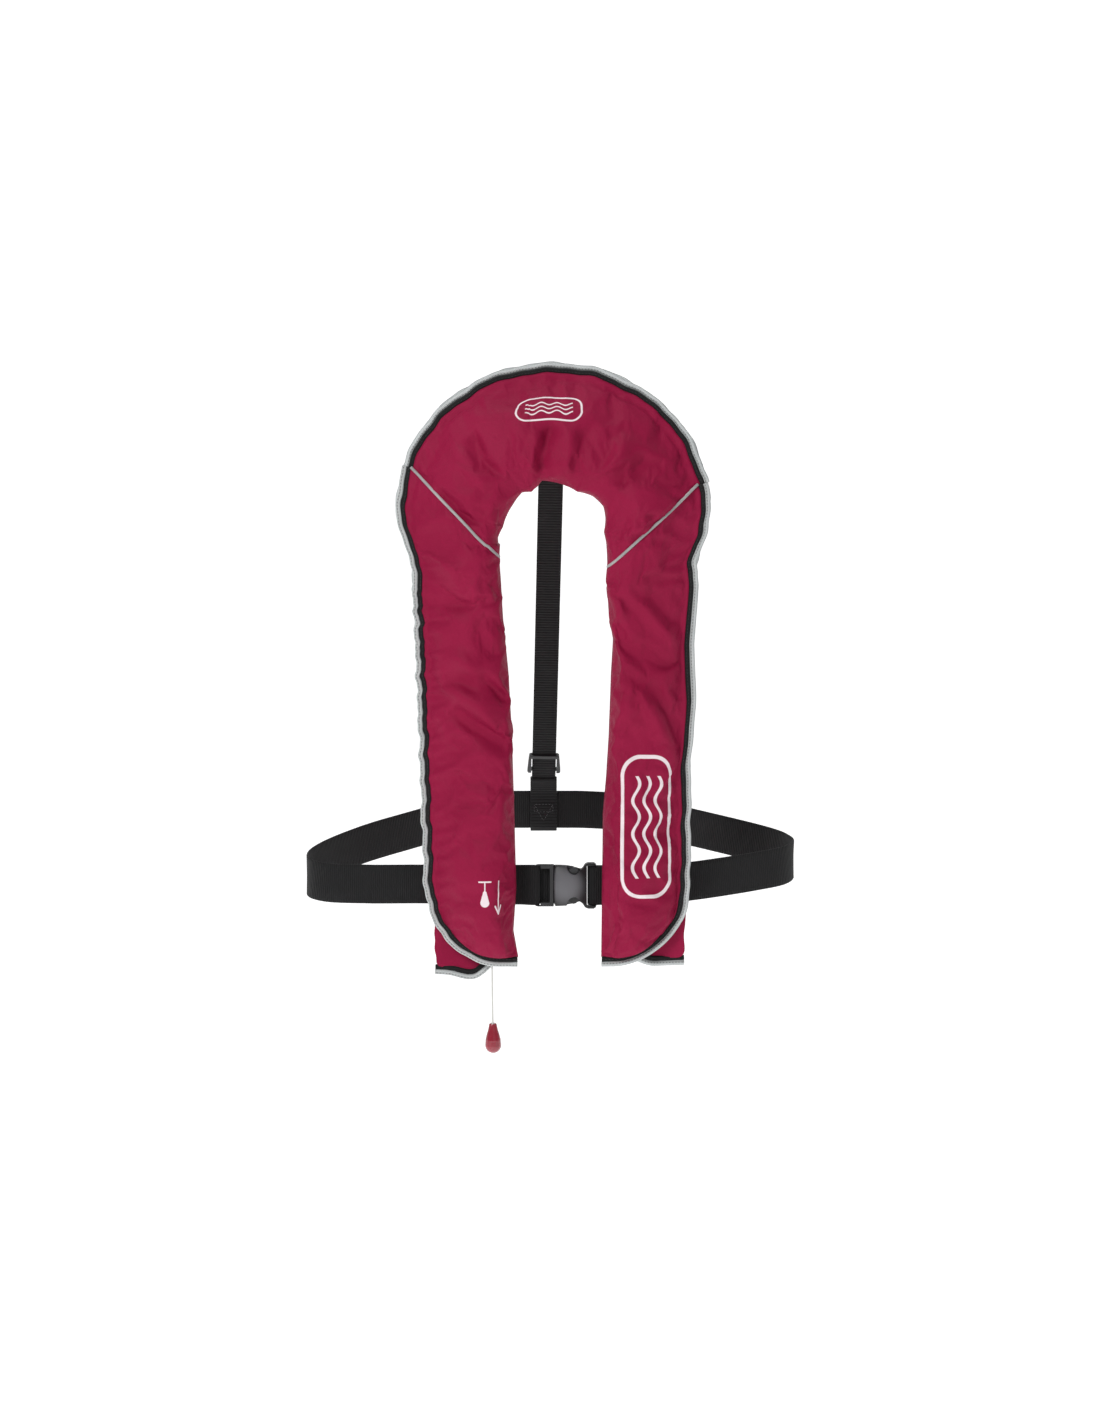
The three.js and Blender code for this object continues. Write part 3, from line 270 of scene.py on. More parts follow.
def silver_tape():
    """Reflective tape folded round a cord: a bright face, a stitched groove painted dark grey as shade, and a
    grey edge.
    """
    finish = Finish("silver_piping", Specular_IOR_Level=0.5, Metallic=0.1)
    cut = finish.uv()
    along, round_, _ = finish.parts(cut)
    grain = finish.noise(cut, 900, 2)
    soil = finish.noise(cut, 30, 3)
    braid = (along * (2000 * math.pi / 1.6) + (round_ * 25).sin() * 2).sin()
    groove = 1 - abs(round_ - 0.7).ramp(0.02, 0.05)
    stitch = groove * (along * (2000 * math.pi / 3.2)).sin().ramp(-0.4, 0.2)
    colour = finish.mix(soil.ramp(0.35, 0.75), linear(214, 218, 217), linear(186, 191, 192))
    colour = finish.mix(braid.ramp(-1, 1, 0.0, 0.35), colour, linear(158, 163, 165))
    # Painted shade: the groove along the tape is painted dark grey.
    colour = finish.mix(groove * 0.75, colour, linear(96, 98, 100))
    colour = finish.mix(stitch * 0.6, colour, linear(206, 208, 206))
    finish.feed("Base Color", colour)
    finish.feed("Roughness", grain * 0.15 + 0.42)
    finish.bump(braid * 0.5 + grain * 0.4 - groove * 1.2, 0.0003)
    return finish.material


def black_webbing(name, rib=2.1):
    """Ribbed webbing: u runs along it and v across it, in metres."""
    finish = Finish(name, Specular_IOR_Level=0.2, Sheen_Weight=0.08, Sheen_Roughness=0.5)
    cut = finish.uv()
    u, v, _ = finish.parts(cut)
    u, v = u * 1000, v * 1000
    twill = (u * (2 * math.pi / rib)).sin()
    cords = (v * (2 * math.pi / 1.15)).sin()
    fuzz = finish.noise(cut, 1400, 2)
    wear = finish.noise(cut, 22, 3)
    height = twill * 0.5 + cords * 0.28 * (twill * 0.4 + 0.6) + fuzz * 0.5
    # Painted shade and highlight: the colour is darker where the weave is low and lighter on its raised ribs.
    colour = finish.mix(height.ramp(-0.6, 1.0), linear(19, 19, 20), linear(30, 30, 31))
    colour = finish.mix(wear.ramp(0.5, 0.8, 0.0, 0.3), colour, linear(44, 44, 45))
    finish.feed("Base Color", colour)
    finish.feed("Roughness", fuzz * 0.2 + 0.62)
    finish.bump(height, 0.0004)
    return finish.material


def moulded(name, colour, light_colour, roughness=0.35, coat=0.15, grain_size=900):
    """Moulded plastic with a faint grain, scuffs and a little colour drift."""
    finish = Finish(name, Specular_IOR_Level=0.5, Coat_Roughness=0.25)
    place = finish.place()
    grain = finish.noise(place, grain_size, 2)
    drift = finish.noise(place, 40, 3)
    scuff = finish.noise(finish.stretched(place, (1, 1, 6)), 160, 3, 0.7)
    finish.feed("Base Color", finish.mix(drift.ramp(0.35, 0.7), linear(*colour), linear(*light_colour)))
    finish.feed("Roughness", grain * 0.1 + scuff.ramp(0.55, 0.75, 0.0, 0.18) + (roughness - 0.05))
    finish.feed("Coat Weight", scuff.ramp(0.4, 0.7, coat, coat * 0.4))
    finish.bump(grain * 0.4 + scuff * 0.6, 0.00025)
    return finish.material


def domed_plastic():
    """The buckle's glossy shell, which bulges a little towards its middle, with a painted highlight: its
    colour is lighter in the middle and darker towards the edges.
    """
    finish = Finish("buckle_shell", Specular_IOR_Level=0.35, Coat_Weight=0.1, Coat_Roughness=0.3)
    place = finish.place()
    x, _, z = finish.parts(place)
    across, up = (x - 0.013) * 48, (z + 0.408) * 44
    dome_highlight = 1 - (across * across + up * up).min(1.6)
    grain = finish.noise(place, 1100, 2)
    sweep = finish.noise(place, 70, 2)
    # Painted highlight: the base colour runs from dark grey at the shell's edges to light grey in its middle.
    finish.feed("Base Color", finish.mix(dome_highlight.ramp(-0.1, 1), linear(27, 27, 29), linear(104, 104, 108)))
    finish.feed("Roughness", grain * 0.1 + sweep * 0.1 + 0.3)
    finish.bump(dome_highlight * 6 + grain * 0.12, 0.001)
    return finish.material


def metal(name, colour, roughness):
    finish = Finish(name, Metallic=0.95)
    place = finish.place()
    turned = finish.noise(finish.stretched(place, (1, 1, 30)), 60, 3)
    stain = finish.noise(place, 45, 3)
    stained = linear(*[c * 0.8 for c in colour])
    finish.feed("Base Color", finish.mix(stain.ramp(0.4, 0.75), linear(*colour), stained))
    finish.feed("Roughness", turned * 0.14 + roughness)
    finish.bump(turned, 0.0001)
    return finish.material


def chamber_cloth():
    finish = Finish("bladder_cloth", Specular_IOR_Level=0.45, Sheen_Weight=0.1)
    place = finish.place()
    x, _, z = finish.parts(place)
    weave = (x * (2000 * math.pi / 0.9)).sin() * (z * (2000 * math.pi / 0.9)).sin()
    cloud = finish.noise(place, 30, 3)
    finish.feed("Base Color", finish.mix(cloud.ramp(0.3, 0.7), linear(232, 178, 34), linear(214, 152, 22)))
    finish.feed("Roughness", cloud * 0.2 + 0.45)
    finish.bump(weave * 0.1 + finish.noise(place, 260, 3) * 0.7, 0.0005)
    return finish.material


def white_braid():
    finish = Finish("cord_braid", Specular_IOR_Level=0.35, Sheen_Weight=0.2)
    place = finish.place()
    x, _, z = finish.parts(place)
    strands = (z * (2000 * math.pi / 1.2) + x * 4000).sin()
    # Painted shade: the colour is darker in the hollows between the strands and lighter on their tops.
    finish.feed("Base Color", finish.mix(strands.ramp(-1, 1), linear(222, 222, 216), linear(246, 246, 242)))
    finish.feed("Roughness", strands * 0.05 + 0.7)
    finish.bump(strands, 0.0002)
    return finish.material


def studio():
    finish = Finish("floor_paper", Specular_IOR_Level=0.1, Roughness=0.9, Emission_Strength=0.6)
    finish.shader.inputs["Emission Color"].default_value = (1, 1, 1, 1)
    mottle = finish.noise(finish.place(), 2, 1)
    finish.feed("Base Color", finish.mix(mottle, (0.93, 0.93, 0.93, 1), (0.95, 0.95, 0.95, 1)))
    depth, back, tall, bend, half, floor = 9.0, 6.5, 12.0, 1.6, 14, -1.35
    profile = [(-depth, 0.0)]
    for i in range(13):
        turn = i / 12 * math.pi / 2
        profile.append((back - bend + bend * math.sin(turn), bend - bend * math.cos(turn)))
    profile.append((back, tall))
    points, faces = [], []
    for y, z in profile:
        points += [(-half, y, z + floor), (half, y, z + floor)]
    for i in range(len(profile) - 1):
        faces.append((2 * i, 2 * i + 1, 2 * i + 3, 2 * i + 2))
    sweep = mesh_object("studio_sweep", points, faces)
    sweep.data.materials.append(finish.material)
    world = bpy.data.worlds.new("studio")
    scene.world = world
    world.use_nodes = True
    background = world.node_tree.nodes["Background"]
    background.inputs["Color"].default_value = (1, 1, 1, 1)
    background.inputs["Strength"].default_value = 0.24
    scene.view_settings.view_transform = "Standard"
    make_light("key", (-1.7, -2.5, 1.8), (0, 0, -0.2), (0.9, 0.9), 62)
    make_light("fill", (2.0, -2.6, -0.1), (0, 0, -0.2), (1.2, 1.2), 9)
    make_light("top", (-0.3, 0.2, 2.2), (0, 0.1, -0.2), (1.4, 1.2), 16)


make_camera()
studio()

# ---- The pull cord, from the lever down to the toggle ----
CORD_TOP = Vector((-0.06268, -0.00379, -0.3715))
CORD_FOOT = Vector((-0.06108, 0.00607, -0.556))
CORD_DIA, CORD_STEPS = 0.0018, 47


def pull_cord():
    curve = bpy.data.curves.new("pull_cord_braid", "CURVE")
    curve.dimensions, curve.bevel_depth, curve.bevel_resolution = "3D", CORD_DIA / 2, 4
    line = curve.splines.new("POLY")
    line.points.add(CORD_STEPS)
    for i, point in enumerate(line.points):
        point.co = (*CORD_TOP.lerp(CORD_FOOT, i / CORD_STEPS), 1)
    made = bpy.data.objects.new("pull_cord_braid", curve)
    scene.collection.objects.link(made)
    made.data.materials.append(white_braid())
    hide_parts("pull_cord")
    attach(made, "pull")


pull_cord()

# ---- The cover's outline, in millimetres ----
COLLAR_RISE, SHOULDER_HALF, SHOULDER_DROP, SHOULDER_FALL = 118, 157, 25, 65
LOBE_OUT_TOP, LOBE_DROP, NECK_HALF, NECK_DROP = 143, 487, 54, 60
CORNER_WIDE, CORNER_TALL, REAR_CORNER = 78, 88, 7
SIDES = {
    "right": dict(sign=-1, inner=40, out=133, seam=17, seam_drop=73, rear_out=122, rear_drop=498),
    "left": dict(sign=1, inner=45, out=137, seam=10, seam_drop=83, rear_out=132, rear_drop=489),
}
FRONT_SWELL, REAR_SWELL, EDGE_Y, PIPING_Y = 26, 12, 4.4, 3.3
COLLAR_LEAN, LEAN_FROM, CHEST_RADIUS, BOTTOM_GAP = 55, 85, 821.6333, 1.6
PIPING_DIA, BINDING_WIDE, GAP = 5.6, 4.4, 0.4
COVER_INSET = PIPING_DIA + GAP + BINDING_WIDE - 0.6
FOLD_SHARE, LIP_SHARE, LOWER_ROUND = 0.3, 0.93, 55


def smooth(value, low, high):
    t = np.clip((value - low) / (high - low), 0, 1)
    return t * t * (3 - 2 * t)


def arc(cx, cz, rx, rz, start, end, count=60):
    a = np.radians(np.linspace(start, end, count))
    return np.stack([cx + rx * np.cos(a), cz + rz * np.sin(a)], 1)


def bezier(p0, p1, p2, p3, count=40):
    t = np.linspace(0, 1, count)[:, None]
    p0, p1, p2, p3 = map(np.array, (p0, p1, p2, p3))
    return (1 - t) ** 3 * p0 + 3 * (1 - t) ** 2 * t * p1 + 3 * (1 - t) * t * t * p2 + t ** 3 * p3


def travelled(line):
    """Distance along a line of points at each of them."""
    return np.concatenate([[0], np.cumsum(np.linalg.norm(np.diff(line, axis=0), axis=1))])


def unit(rows):
    return rows / np.maximum(np.linalg.norm(rows, axis=-1, keepdims=True), 1e-9)


def evenly(line, count):
    """A line of points resampled at equal spacing."""
    line = np.asarray(line, float)
    step = np.linalg.norm(np.diff(line, axis=0), axis=1)
    line = line[np.concatenate([[True], step > 1e-6])]
    far = travelled(line)
    at = np.linspace(0, far[-1], count)
    return np.stack([np.interp(at, far, line[:, i]) for i in range(line.shape[1])], 1)


def lower_corner(side, inset, rear):
    """A lobe's outer edge, its bottom, and its rounded corner's width and height."""
    if rear:
        return side["rear_out"] - inset, side["rear_drop"] - inset, REAR_CORNER, REAR_CORNER
    return side["out"] - inset, LOBE_DROP - inset, CORNER_WIDE - inset, CORNER_TALL - inset


def edge_line(side, inset, rear, half=False):
    """A lobe's outer edge from the shoulder seam to its lower inner corner, with x positive."""
    out, low, wide, tall = lower_corner(side, inset, rear)
    shoulder, step = SHOULDER_HALF - inset, LOBE_OUT_TOP - inset
    bend = -SHOULDER_DROP - SHOULDER_FALL / 2
    rise = COLLAR_RISE + SHOULDER_DROP - inset
    step_end = (step, 2 * bend + SHOULDER_DROP)
    parts = [
        arc(0, -SHOULDER_DROP, shoulder, rise, side["seam"], 0),
        bezier((shoulder, -SHOULDER_DROP), (shoulder, bend), (step, bend), step_end),
        np.linspace(step_end, (out, tall - low), 60),
        arc(out - wide, tall - low, wide, tall, 0, -45 if half else -90),
    ]
    if not half:
        parts.append(np.linspace((out - wide, -low), (side["inner"], -low), 30))
    return np.concatenate(parts)


def lower_line(side, inset, rear):
    out, low, wide, tall = lower_corner(side, inset, rear)
    straight = np.linspace((side["inner"], -low), (out - wide, -low), 30)
    return np.concatenate([straight, arc(out - wide, tall - low, wide, tall, -90, -45)])


def collar_line(inset):
    rise = COLLAR_RISE + SHOULDER_DROP - inset
    start, end = 180 - SIDES["right"]["seam"], SIDES["left"]["seam"]
    return arc(0, -SHOULDER_DROP, SHOULDER_HALF - inset, rise, start, end, 200)


def inner_x(side, z):
    return np.interp(-np.asarray(z, float), [NECK_DROP, LOBE_DROP], [NECK_HALF, side["inner"]])


def drape(x, z):
    up = np.maximum(0, z + LEAN_FROM) / (COLLAR_RISE + LEAN_FROM)
    return COLLAR_LEAN * up ** 2 + x ** 2 / (2 * CHEST_RADIUS)


def parting(z):
    return BOTTOM_GAP * smooth(-z, LOBE_DROP - 75, LOBE_DROP - 12)


def swell(share, above, height, z):
    edge = EDGE_Y + parting(z)
    curve = np.sqrt(np.maximum(0, 1 - (1 - np.minimum(1, share / FOLD_SHARE)) ** 2.2))
    fall = np.clip((share - FOLD_SHARE) / (LIP_SHARE - FOLD_SHARE), 0, 1)
    end = np.sqrt(np.maximum(0, 1 - (1 - np.clip(above / LOWER_ROUND, 0, 1)) ** 2))
    return GAP / 2 + (edge + (height - edge) * (1 - fall ** 2.2) * end) * curve


# How far each lobe's inner edge wanders outward at heights down it, and the neck's at angles round it.
INNER_DRIFT = {
    -1: [
        (60, 0), (133, -1.6), (189, -5.2), (251, -6.4), (330, -6), (406, -5.4), (450, -1), (478, -5),
        (500, -6),
    ],
    1: [
        (60, 0), (100, 0.4), (133, 3), (155, 7.6), (189, 6.4), (251, 5.6), (293, 4), (331, 1.6),
        (400, 2.4), (500, 3.6),
    ],
}
OUTER_DRIFT = {
    -1: [(40, 0), (95, -1.6), (150, -2.2), (265, -2.6), (400, -2.6), (500, -2.4)],
    1: [(40, 0), (104, 1.5), (161, -0.6), (218, 2), (307, -0.6), (378, 1.2), (439, 2.4), (500, 0)],
}
NECK_DRIFT = [
    (0, -1.6), (12, -2.6), (24, 2.8), (34, 6.2), (47, 4.2), (63, -2), (78, -0.7), (91, 1.4), (101, 3.8),
    (107, -0.6), (115, -3.2), (124, 1.4), (139, -0.9), (163, -1.8), (174, 1.2), (180, 0.6),
]


def outer_push(x, z, sign):
    return np.interp(-z, *np.array(OUTER_DRIFT[sign]).T) * smooth(np.abs(x), 45, 90)


def drift(x, z, sign, share):
    """Moves points sideways where the soft inner edge wanders, fading out across the cloth."""
    fade = 1 - smooth(share, 0.05, 0.75)
    if sign:
        inner = np.interp(-z, *np.array(INNER_DRIFT[sign]).T) * smooth(-z, 62, 100)
        x = x + sign * (inner * fade + outer_push(x, z, sign) * (1 - fade))
    turn = np.degrees(np.arctan2((z + NECK_DROP) / NECK_DROP, x / NECK_HALF))
    angles, pushes = np.array(NECK_DRIFT).T
    push = np.interp(turn, angles, pushes) * fade * smooth(z, -78, -52)
    far = np.maximum(np.hypot(x, z + NECK_DROP), 1)
    return x + push * x / far, z + push * (z + NECK_DROP) / far


# Puckers that the stitching draws up along the outer edges: in the cloth's plane and out of it.
def pucker(x, z, wave, phase):
    turn = np.arctan2(z + 100, x) * 150 - np.minimum(0, z + 100) * 0.9
    second = 0.6 * np.sin(turn * 2 * np.pi / (wave * 1.7) + 2.1 * phase)
    return np.sin(turn * 2 * np.pi / wave + phase) + second


def ruffled(x, z, rear, sign):
    """In-plane push outward at an edge, in millimetres."""
    phase = (1.3 if rear else 0.2) + sign
    return 0.75 * pucker(x, z, 39, phase) + 0.35 * pucker(x, z, 17, phase * 2)


def edge_lift(x, z, rear, sign):
    phase = (2.3 if rear else 0.9) + sign
    return 0.9 * pucker(x, z, 44, phase)


def spread(inner, outer, top, bottom, rows, columns, power=1.25):
    """A grid filled in between four edges, closer together at the inner one."""
    u = np.linspace(0, 1, rows)[:, None, None]
    s = (np.linspace(0, 1, columns) ** power)[None, :, None]
    n, o = evenly(inner, rows)[:, None], evenly(outer, rows)[:, None]

    def paced(line):
        fine, share = evenly(line, 400), np.linspace(0, 1, 400)
        return np.stack([np.interp(s[0, :, 0], share, fine[:, i]) for i in (0, 1)], 1)[None]

    t, b = paced(top), paced(bottom)
    corners = (1 - s) * (1 - u) * t[:, :1] + s * (1 - u) * t[:, -1:]
    corners = corners + (1 - s) * u * b[:, :1] + s * u * b[:, -1:]
    return (1 - s) * n + s * o + (1 - u) * t + u * b - corners, s[0, :, 0]


def lobe_grid(side, rear, rows, columns):
    outer = edge_line(side, COVER_INSET, rear, True)
    bottom = lower_line(side, COVER_INSET, rear)
    seam_in = np.array([float(inner_x(side, -side["seam_drop"])), -side["seam_drop"]])
    inner = np.linspace(seam_in, bottom[0], 50)
    flat, share = spread(inner, outer, np.linspace(seam_in, outer[0], 50), bottom, rows, columns)
    low = (side["rear_drop"] if rear else LOBE_DROP) - COVER_INSET
    above = np.maximum(0, flat[..., 1] + low)
    y = swell(share[None], above, REAR_SWELL if rear else FRONT_SWELL, flat[..., 1])
    return flat[..., 0] * side["sign"], y, flat[..., 1], share


def collar_grid(rear, rows, columns):
    right, left = SIDES["right"], SIDES["left"]
    start = (-float(inner_x(right, -right["seam_drop"])), -right["seam_drop"])
    end = (float(inner_x(left, -left["seam_drop"])), -left["seam_drop"])
    arch = arc(0, -NECK_DROP, NECK_HALF, NECK_DROP, 180, 0, 120)
    inner = np.concatenate([[start], arch, [end]])
    outer = collar_line(COVER_INSET)
    flat, share = spread(inner, outer, [start, outer[0]], [end, outer[-1]], rows, columns)
    y = swell(share[None], LOWER_ROUND, REAR_SWELL if rear else FRONT_SWELL, flat[..., 1])
    return flat[..., 0], y, flat[..., 1], share


# ---- Folds in the cloth ----
# Each is a stroke from one place to another, with its width and height; a negative height sinks in.
FOLD_DEPTH = 2.7  # millimetres for each unit of a fold's height
FOLDS = [
    ((-122, -72), (-70, -116), 8, 2.6), ((-128, -92), (-82, -124), 9, -3.2),
    ((-104, -160), (-66, -222), 9, 3.2), ((-80, -184), (-44, -222), 7, -4.0),
    ((-106, -214), (-46, -268), 8, -4.4), ((-112, -198), (-60, -246), 9, 3.4),
    ((-120, -290), (-78, -330), 12, -2.0), ((-90, -300), (-52, -350), 10, 1.6),
    ((-118, -360), (-92, -410), 12, 1.6), ((-78, -130), (-56, -176), 9, -2.6),
    ((96, -102), (138, -152), 8, -4.2), ((88, -112), (124, -160), 9, 3.0),
    ((58, -124), (78, -174), 8, -3.2), ((90, -158), (120, -182), 7, -3.0),
    ((94, -196), (133, -258), 9, -3.8), ((80, -204), (112, -262), 10, 2.8),
    ((62, -110), (56, -140), 7, 2.2), ((60, -230), (84, -280), 11, -1.6),
    ((2, 56), (-12, 4), 7, -4.6), ((-14, 50), (-26, 12), 8, 3.2), ((14, 58), (12, 10), 9, 2.4),
    ((-80, 52), (-52, 2), 8, -3.6), ((-100, 36), (-62, -6), 9, 2.6), ((-122, 4), (-66, -44), 9, -2.4),
    ((36, 56), (26, 6), 8, -2.6), ((70, 52), (48, 8), 9, 2.4), ((96, 30), (58, -14), 9, -2.6),
    ((128, -8), (70, -48), 10, 2.2), ((-40, 82), (-34, 30), 11, 1.8), ((110, 20), (74, -2), 8, -2.0),
]


def folds(x, z):
    """How far the folds push the cloth out, in millimetres."""
    total = np.zeros_like(x)
    for (x0, z0), (x1, z1), wide, high in FOLDS:
        high *= FOLD_DEPTH
        dx, dz = x1 - x0, z1 - z0
        long = math.hypot(dx, dz)
        along = ((x - x0) * dx + (z - z0) * dz) / long ** 2
        across = ((x - x0) * dz - (z - z0) * dx) / long
        bow = across + 5 * np.sin(np.clip(along, 0, 1) * np.pi) * np.sign(high)
        taper = np.exp(-((np.clip(along, -1, 2) - 0.5) / 0.42) ** 4)
        total += high * np.exp(-(bow / wide) ** 2) * taper
    return total


def lump(x, z, scale, seed):
    """Soft unevenness, one unit high, from a few crossed waves."""
    made = np.zeros_like(x)
    turn = np.random.default_rng(seed)
    for _ in range(7):
        angle, phase, size = turn.uniform(0, np.pi), turn.uniform(0, 6.28), turn.uniform(0.7, 1.5) * scale
        made += np.sin((x * math.cos(angle) + z * math.sin(angle)) * 2 * np.pi / size + phase)
    return made / 3.5


def grid_faces(rows, columns):
    grid = np.arange(rows * columns).reshape(rows, columns)
    return grid, np.stack([grid[:-1, :-1], grid[:-1, 1:], grid[1:, 1:], grid[1:, :-1]], -1).reshape(-1, 4)


def relaxed(points, pins, steps, growth, push):
    """Lets a sheet of slightly larger cloth settle between its pinned edges; points in metres."""
    cloth = mesh_object("settling", points.reshape(-1, 3), grid_faces(*points.shape[:2])[1])
    group = cloth.vertex_groups.new(name="held")
    weights = pins.reshape(-1)
    for weight in np.unique(np.round(weights, 2)):
        group.add([int(i) for i in np.nonzero(np.round(weights, 2) == weight)[0]], float(weight), "REPLACE")
    modifier = cloth.modifiers.new("cloth", "CLOTH")
    settings = modifier.settings
    settings.quality, settings.mass, settings.air_damping = 6, 0.25, 2.5
    settings.tension_stiffness = settings.compression_stiffness = 18
    settings.shear_stiffness, settings.bending_stiffness = 6, 0.12
    settings.vertex_group_mass, settings.pin_stiffness = "held", 1.0
    settings.use_pressure, settings.uniform_pressure_force = True, push
    settings.shrink_min = -growth
    settings.effector_weights.gravity = 0
    modifier.collision_settings.use_collision = False
    modifier.point_cache.frame_start, modifier.point_cache.frame_end = 1, steps
    for at in range(1, steps + 1):
        scene.frame_set(at)
    settled = cloth.evaluated_get(bpy.context.evaluated_depsgraph_get())
    out = np.array([tuple(v.co) for v in settled.data.vertices]).reshape(points.shape)
    mesh = cloth.data
    bpy.data.objects.remove(cloth)
    bpy.data.meshes.remove(mesh)
    scene.frame_set(1)
    return out


def thick_sheet(name, points, cut, thickness, outward):
    """A closed sheet from its outer face's grid, in metres; outward is the sign of y it faces."""
    facing = np.cross(np.gradient(points, axis=0), np.gradient(points, axis=1))
    normal = unit(facing)
    if np.mean(normal[..., 1]) * outward < 0:
        normal = -normal
    inside = points - normal * thickness
    grid, face = grid_faces(*points.shape[:2])
    count = grid.size
    flip = np.mean(facing[..., 1]) * outward > 0
    face = face[:, ::-1] if flip else face
    rim = list(grid[0, :]) + list(grid[1:, -1]) + list(grid[-1, -2::-1]) + list(grid[-2:0:-1, 0])
    sides = []
    for a, b in zip(rim, rim[1:] + rim[:1]):
        sides.append((a, b, b + count, a + count) if flip else (b, a, a + count, b + count))
    faces = np.concatenate([face, face[:, ::-1] + count]).tolist() + sides
    made = mesh_object(name, np.concatenate([points.reshape(-1, 3), inside.reshape(-1, 3)]), faces)
    lay_cut(made, np.concatenate([cut.reshape(-1, 2)] * 2))
    return made


def lay_cut(made, cut):
    """Stores each vertex's place on the flat cut as the UV map that the finishes read."""
    layer = made.data.uv_layers.new(name="cut")
    loops = np.empty(len(made.data.loops), int)
    made.data.loops.foreach_get("vertex_index", loops)
    layer.data.foreach_set("uv", np.asarray(cut, float)[loops].reshape(-1))


ROWS, COLUMNS, COLLAR_ROWS = ((190, 60, 220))


def printed_on(points):
    """Places on the cloth laid flat, unrolled from the middle and evened out so prints stay straight."""
    level = points[..., [0, 2]]
    steps = np.linalg.norm(np.diff(points, axis=1), axis=-1) - np.linalg.norm(np.diff(level, axis=1), axis=-1)
    extra = np.concatenate([np.zeros((len(points), 1)), np.cumsum(steps, axis=1)], axis=1)
    extra -= extra[:, points.shape[1] // 2, None]
    for _ in range(60):
        extra[1:-1] = (extra[:-2] + 2 * extra[1:-1] + extra[2:]) / 4
    return level + unit(np.gradient(level, axis=1)) * extra[..., None]


def away(x, z):
    """Directions away from the neck over the shoulders, and straight sideways below them."""
    return unit(np.stack([x, np.where(z > -NECK_DROP, z + NECK_DROP, 0)], -1))


def cover_face(name, grid, rear, sign, finish, slots):
    """A front or back face of the cover, creased; the front faces are also settled as cloth."""
    x, y, z, share = grid
    share = share[None, :] * np.ones_like(x)
    edge = smooth(share, 0.55, 1.0)
    radial = away(x, z)
    out = ruffled(x, z, rear, sign) * edge
    px, pz = x + radial[..., 0] * out, z + radial[..., 1] * out
    if rear and sign:
        px = px + sign * (COVER_INSET - 0.8) * smooth(share, 0.55, 1) * smooth(-z, 372, 408)
        px = px + sign * 5 * (1 - smooth(share, 0.1, 0.6)) * smooth(-z, 360, 430)
        pz = pz + rear_rise(px, z, sign) - 1.6 * smooth(-z, 450, 480)
    px, pz = drift(px, pz, sign, share)
    seams = np.ones_like(x)
    seams *= smooth(np.arange(x.shape[0])[:, None] * np.ones_like(x), 0, 8)
    if name.startswith("collar"):
        seams *= smooth((x.shape[0] - 1 - np.arange(x.shape[0]))[:, None] * np.ones_like(x), 0, 8)
    free = smooth(share, 0.0, 0.16) * (1 - smooth(share, 0.86, 1.0)) * seams
    strength = 0.4 if rear else 1.0
    relief = strength * (folds(x, z) + 1.5 * lump(x, z, 62, 3 + int(rear)) + 0.5 * lump(x, z, 24, 5)) * free
    near_edge = smooth(share, 0.7, 0.92) * (1 - smooth(share, 0.94, 1.0))
    gather = 0.7 * pucker(x, z, 15, 1.0 + sign) * near_edge * strength
    lift = edge_lift(x, z, rear, sign) * edge
    y = y + relief + gather
    y = np.where(share < 0.02, np.maximum(y, 0.3), y)
    side = 1 if rear else -1
    points = np.stack([px, side * y + lift + drape(x, z), pz], -1) * MM
    if not rear:
        held = np.zeros_like(x)
        held[:, 0] = held[:, -1] = held[0, :] = held[-1, :] = 1
        held = np.maximum(held, smooth(share, 0.93, 0.97))
        held = np.maximum(held, 0.04)
        settled = relaxed(points, held, 16, 0.035, 1.5)
        moved = settled - points
        far = np.linalg.norm(moved, axis=-1, keepdims=True)
        points = points + moved * np.minimum(1, 0.006 / np.maximum(far, 1e-9))
    base = grid[1]
    rest = (lift + drape(x, z)) * MM
    floor = (0.68 * base + 0.3) * MM
    proud = (side * (points[..., 1] - rest) - floor) / 0.0008
    points[..., 1] = rest + side * (floor + 0.0008 * np.logaddexp(0, proud))
    made = thick_sheet(name, points, printed_on(points), 0.0012, side)
    made.data.materials.append(finish)
    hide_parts(slots)
    return made, points


plain_nylon = nylon("crimson_nylon")
FINISHES = {
    "collar": nylon("crimson_nylon_collar", collar_mark),
    "right": nylon("crimson_nylon_right", pull_mark),
    "left": nylon("crimson_nylon_left", lobe_mark),
}
silver = silver_tape()
edge_black = black_webbing("black_binding_tape", 1.2)


def lofted(name, points, cut, sides, flip=False):
    """A closed form through rings of points, each ring with the same number of sides."""
    rings = len(points) // sides
    faces = []
    for i in range(rings - 1):
        for k in range(sides):
            a, b = i * sides + k, i * sides + (k + 1) % sides
            faces.append((a, a + sides, b + sides, b) if flip else (a, b, b + sides, a + sides))
    last = (rings - 1) * sides
    first_cap, last_cap = tuple(range(sides)), tuple(last + k for k in range(sides))
    faces.append(first_cap if flip else first_cap[::-1])
    faces.append(last_cap[::-1] if flip else last_cap)
    made = mesh_object(name, points, faces)
    lay_cut(made, cut)
    return made


FACING = np.array([0, 1.0, 0])


def tube(name, line, radius, sides=12, squashed=1.0):
    """A round tube along points in metres, with its cut laid out along and round it."""
    line = np.asarray(line, float)
    tangent = unit(np.gradient(line, axis=0))
    across = unit(np.cross(tangent, FACING))
    up = np.cross(across, tangent)
    far = travelled(line)
    points, cut = [], []
    for i in range(len(line)):
        for k in range(sides):
            a = 2 * math.pi * k / sides
            points.append(line[i] + radius * (math.cos(a) * across[i] + squashed * math.sin(a) * up[i]))
            cut.append((far[i], k / sides))
    return lofted(name, points, cut, sides)


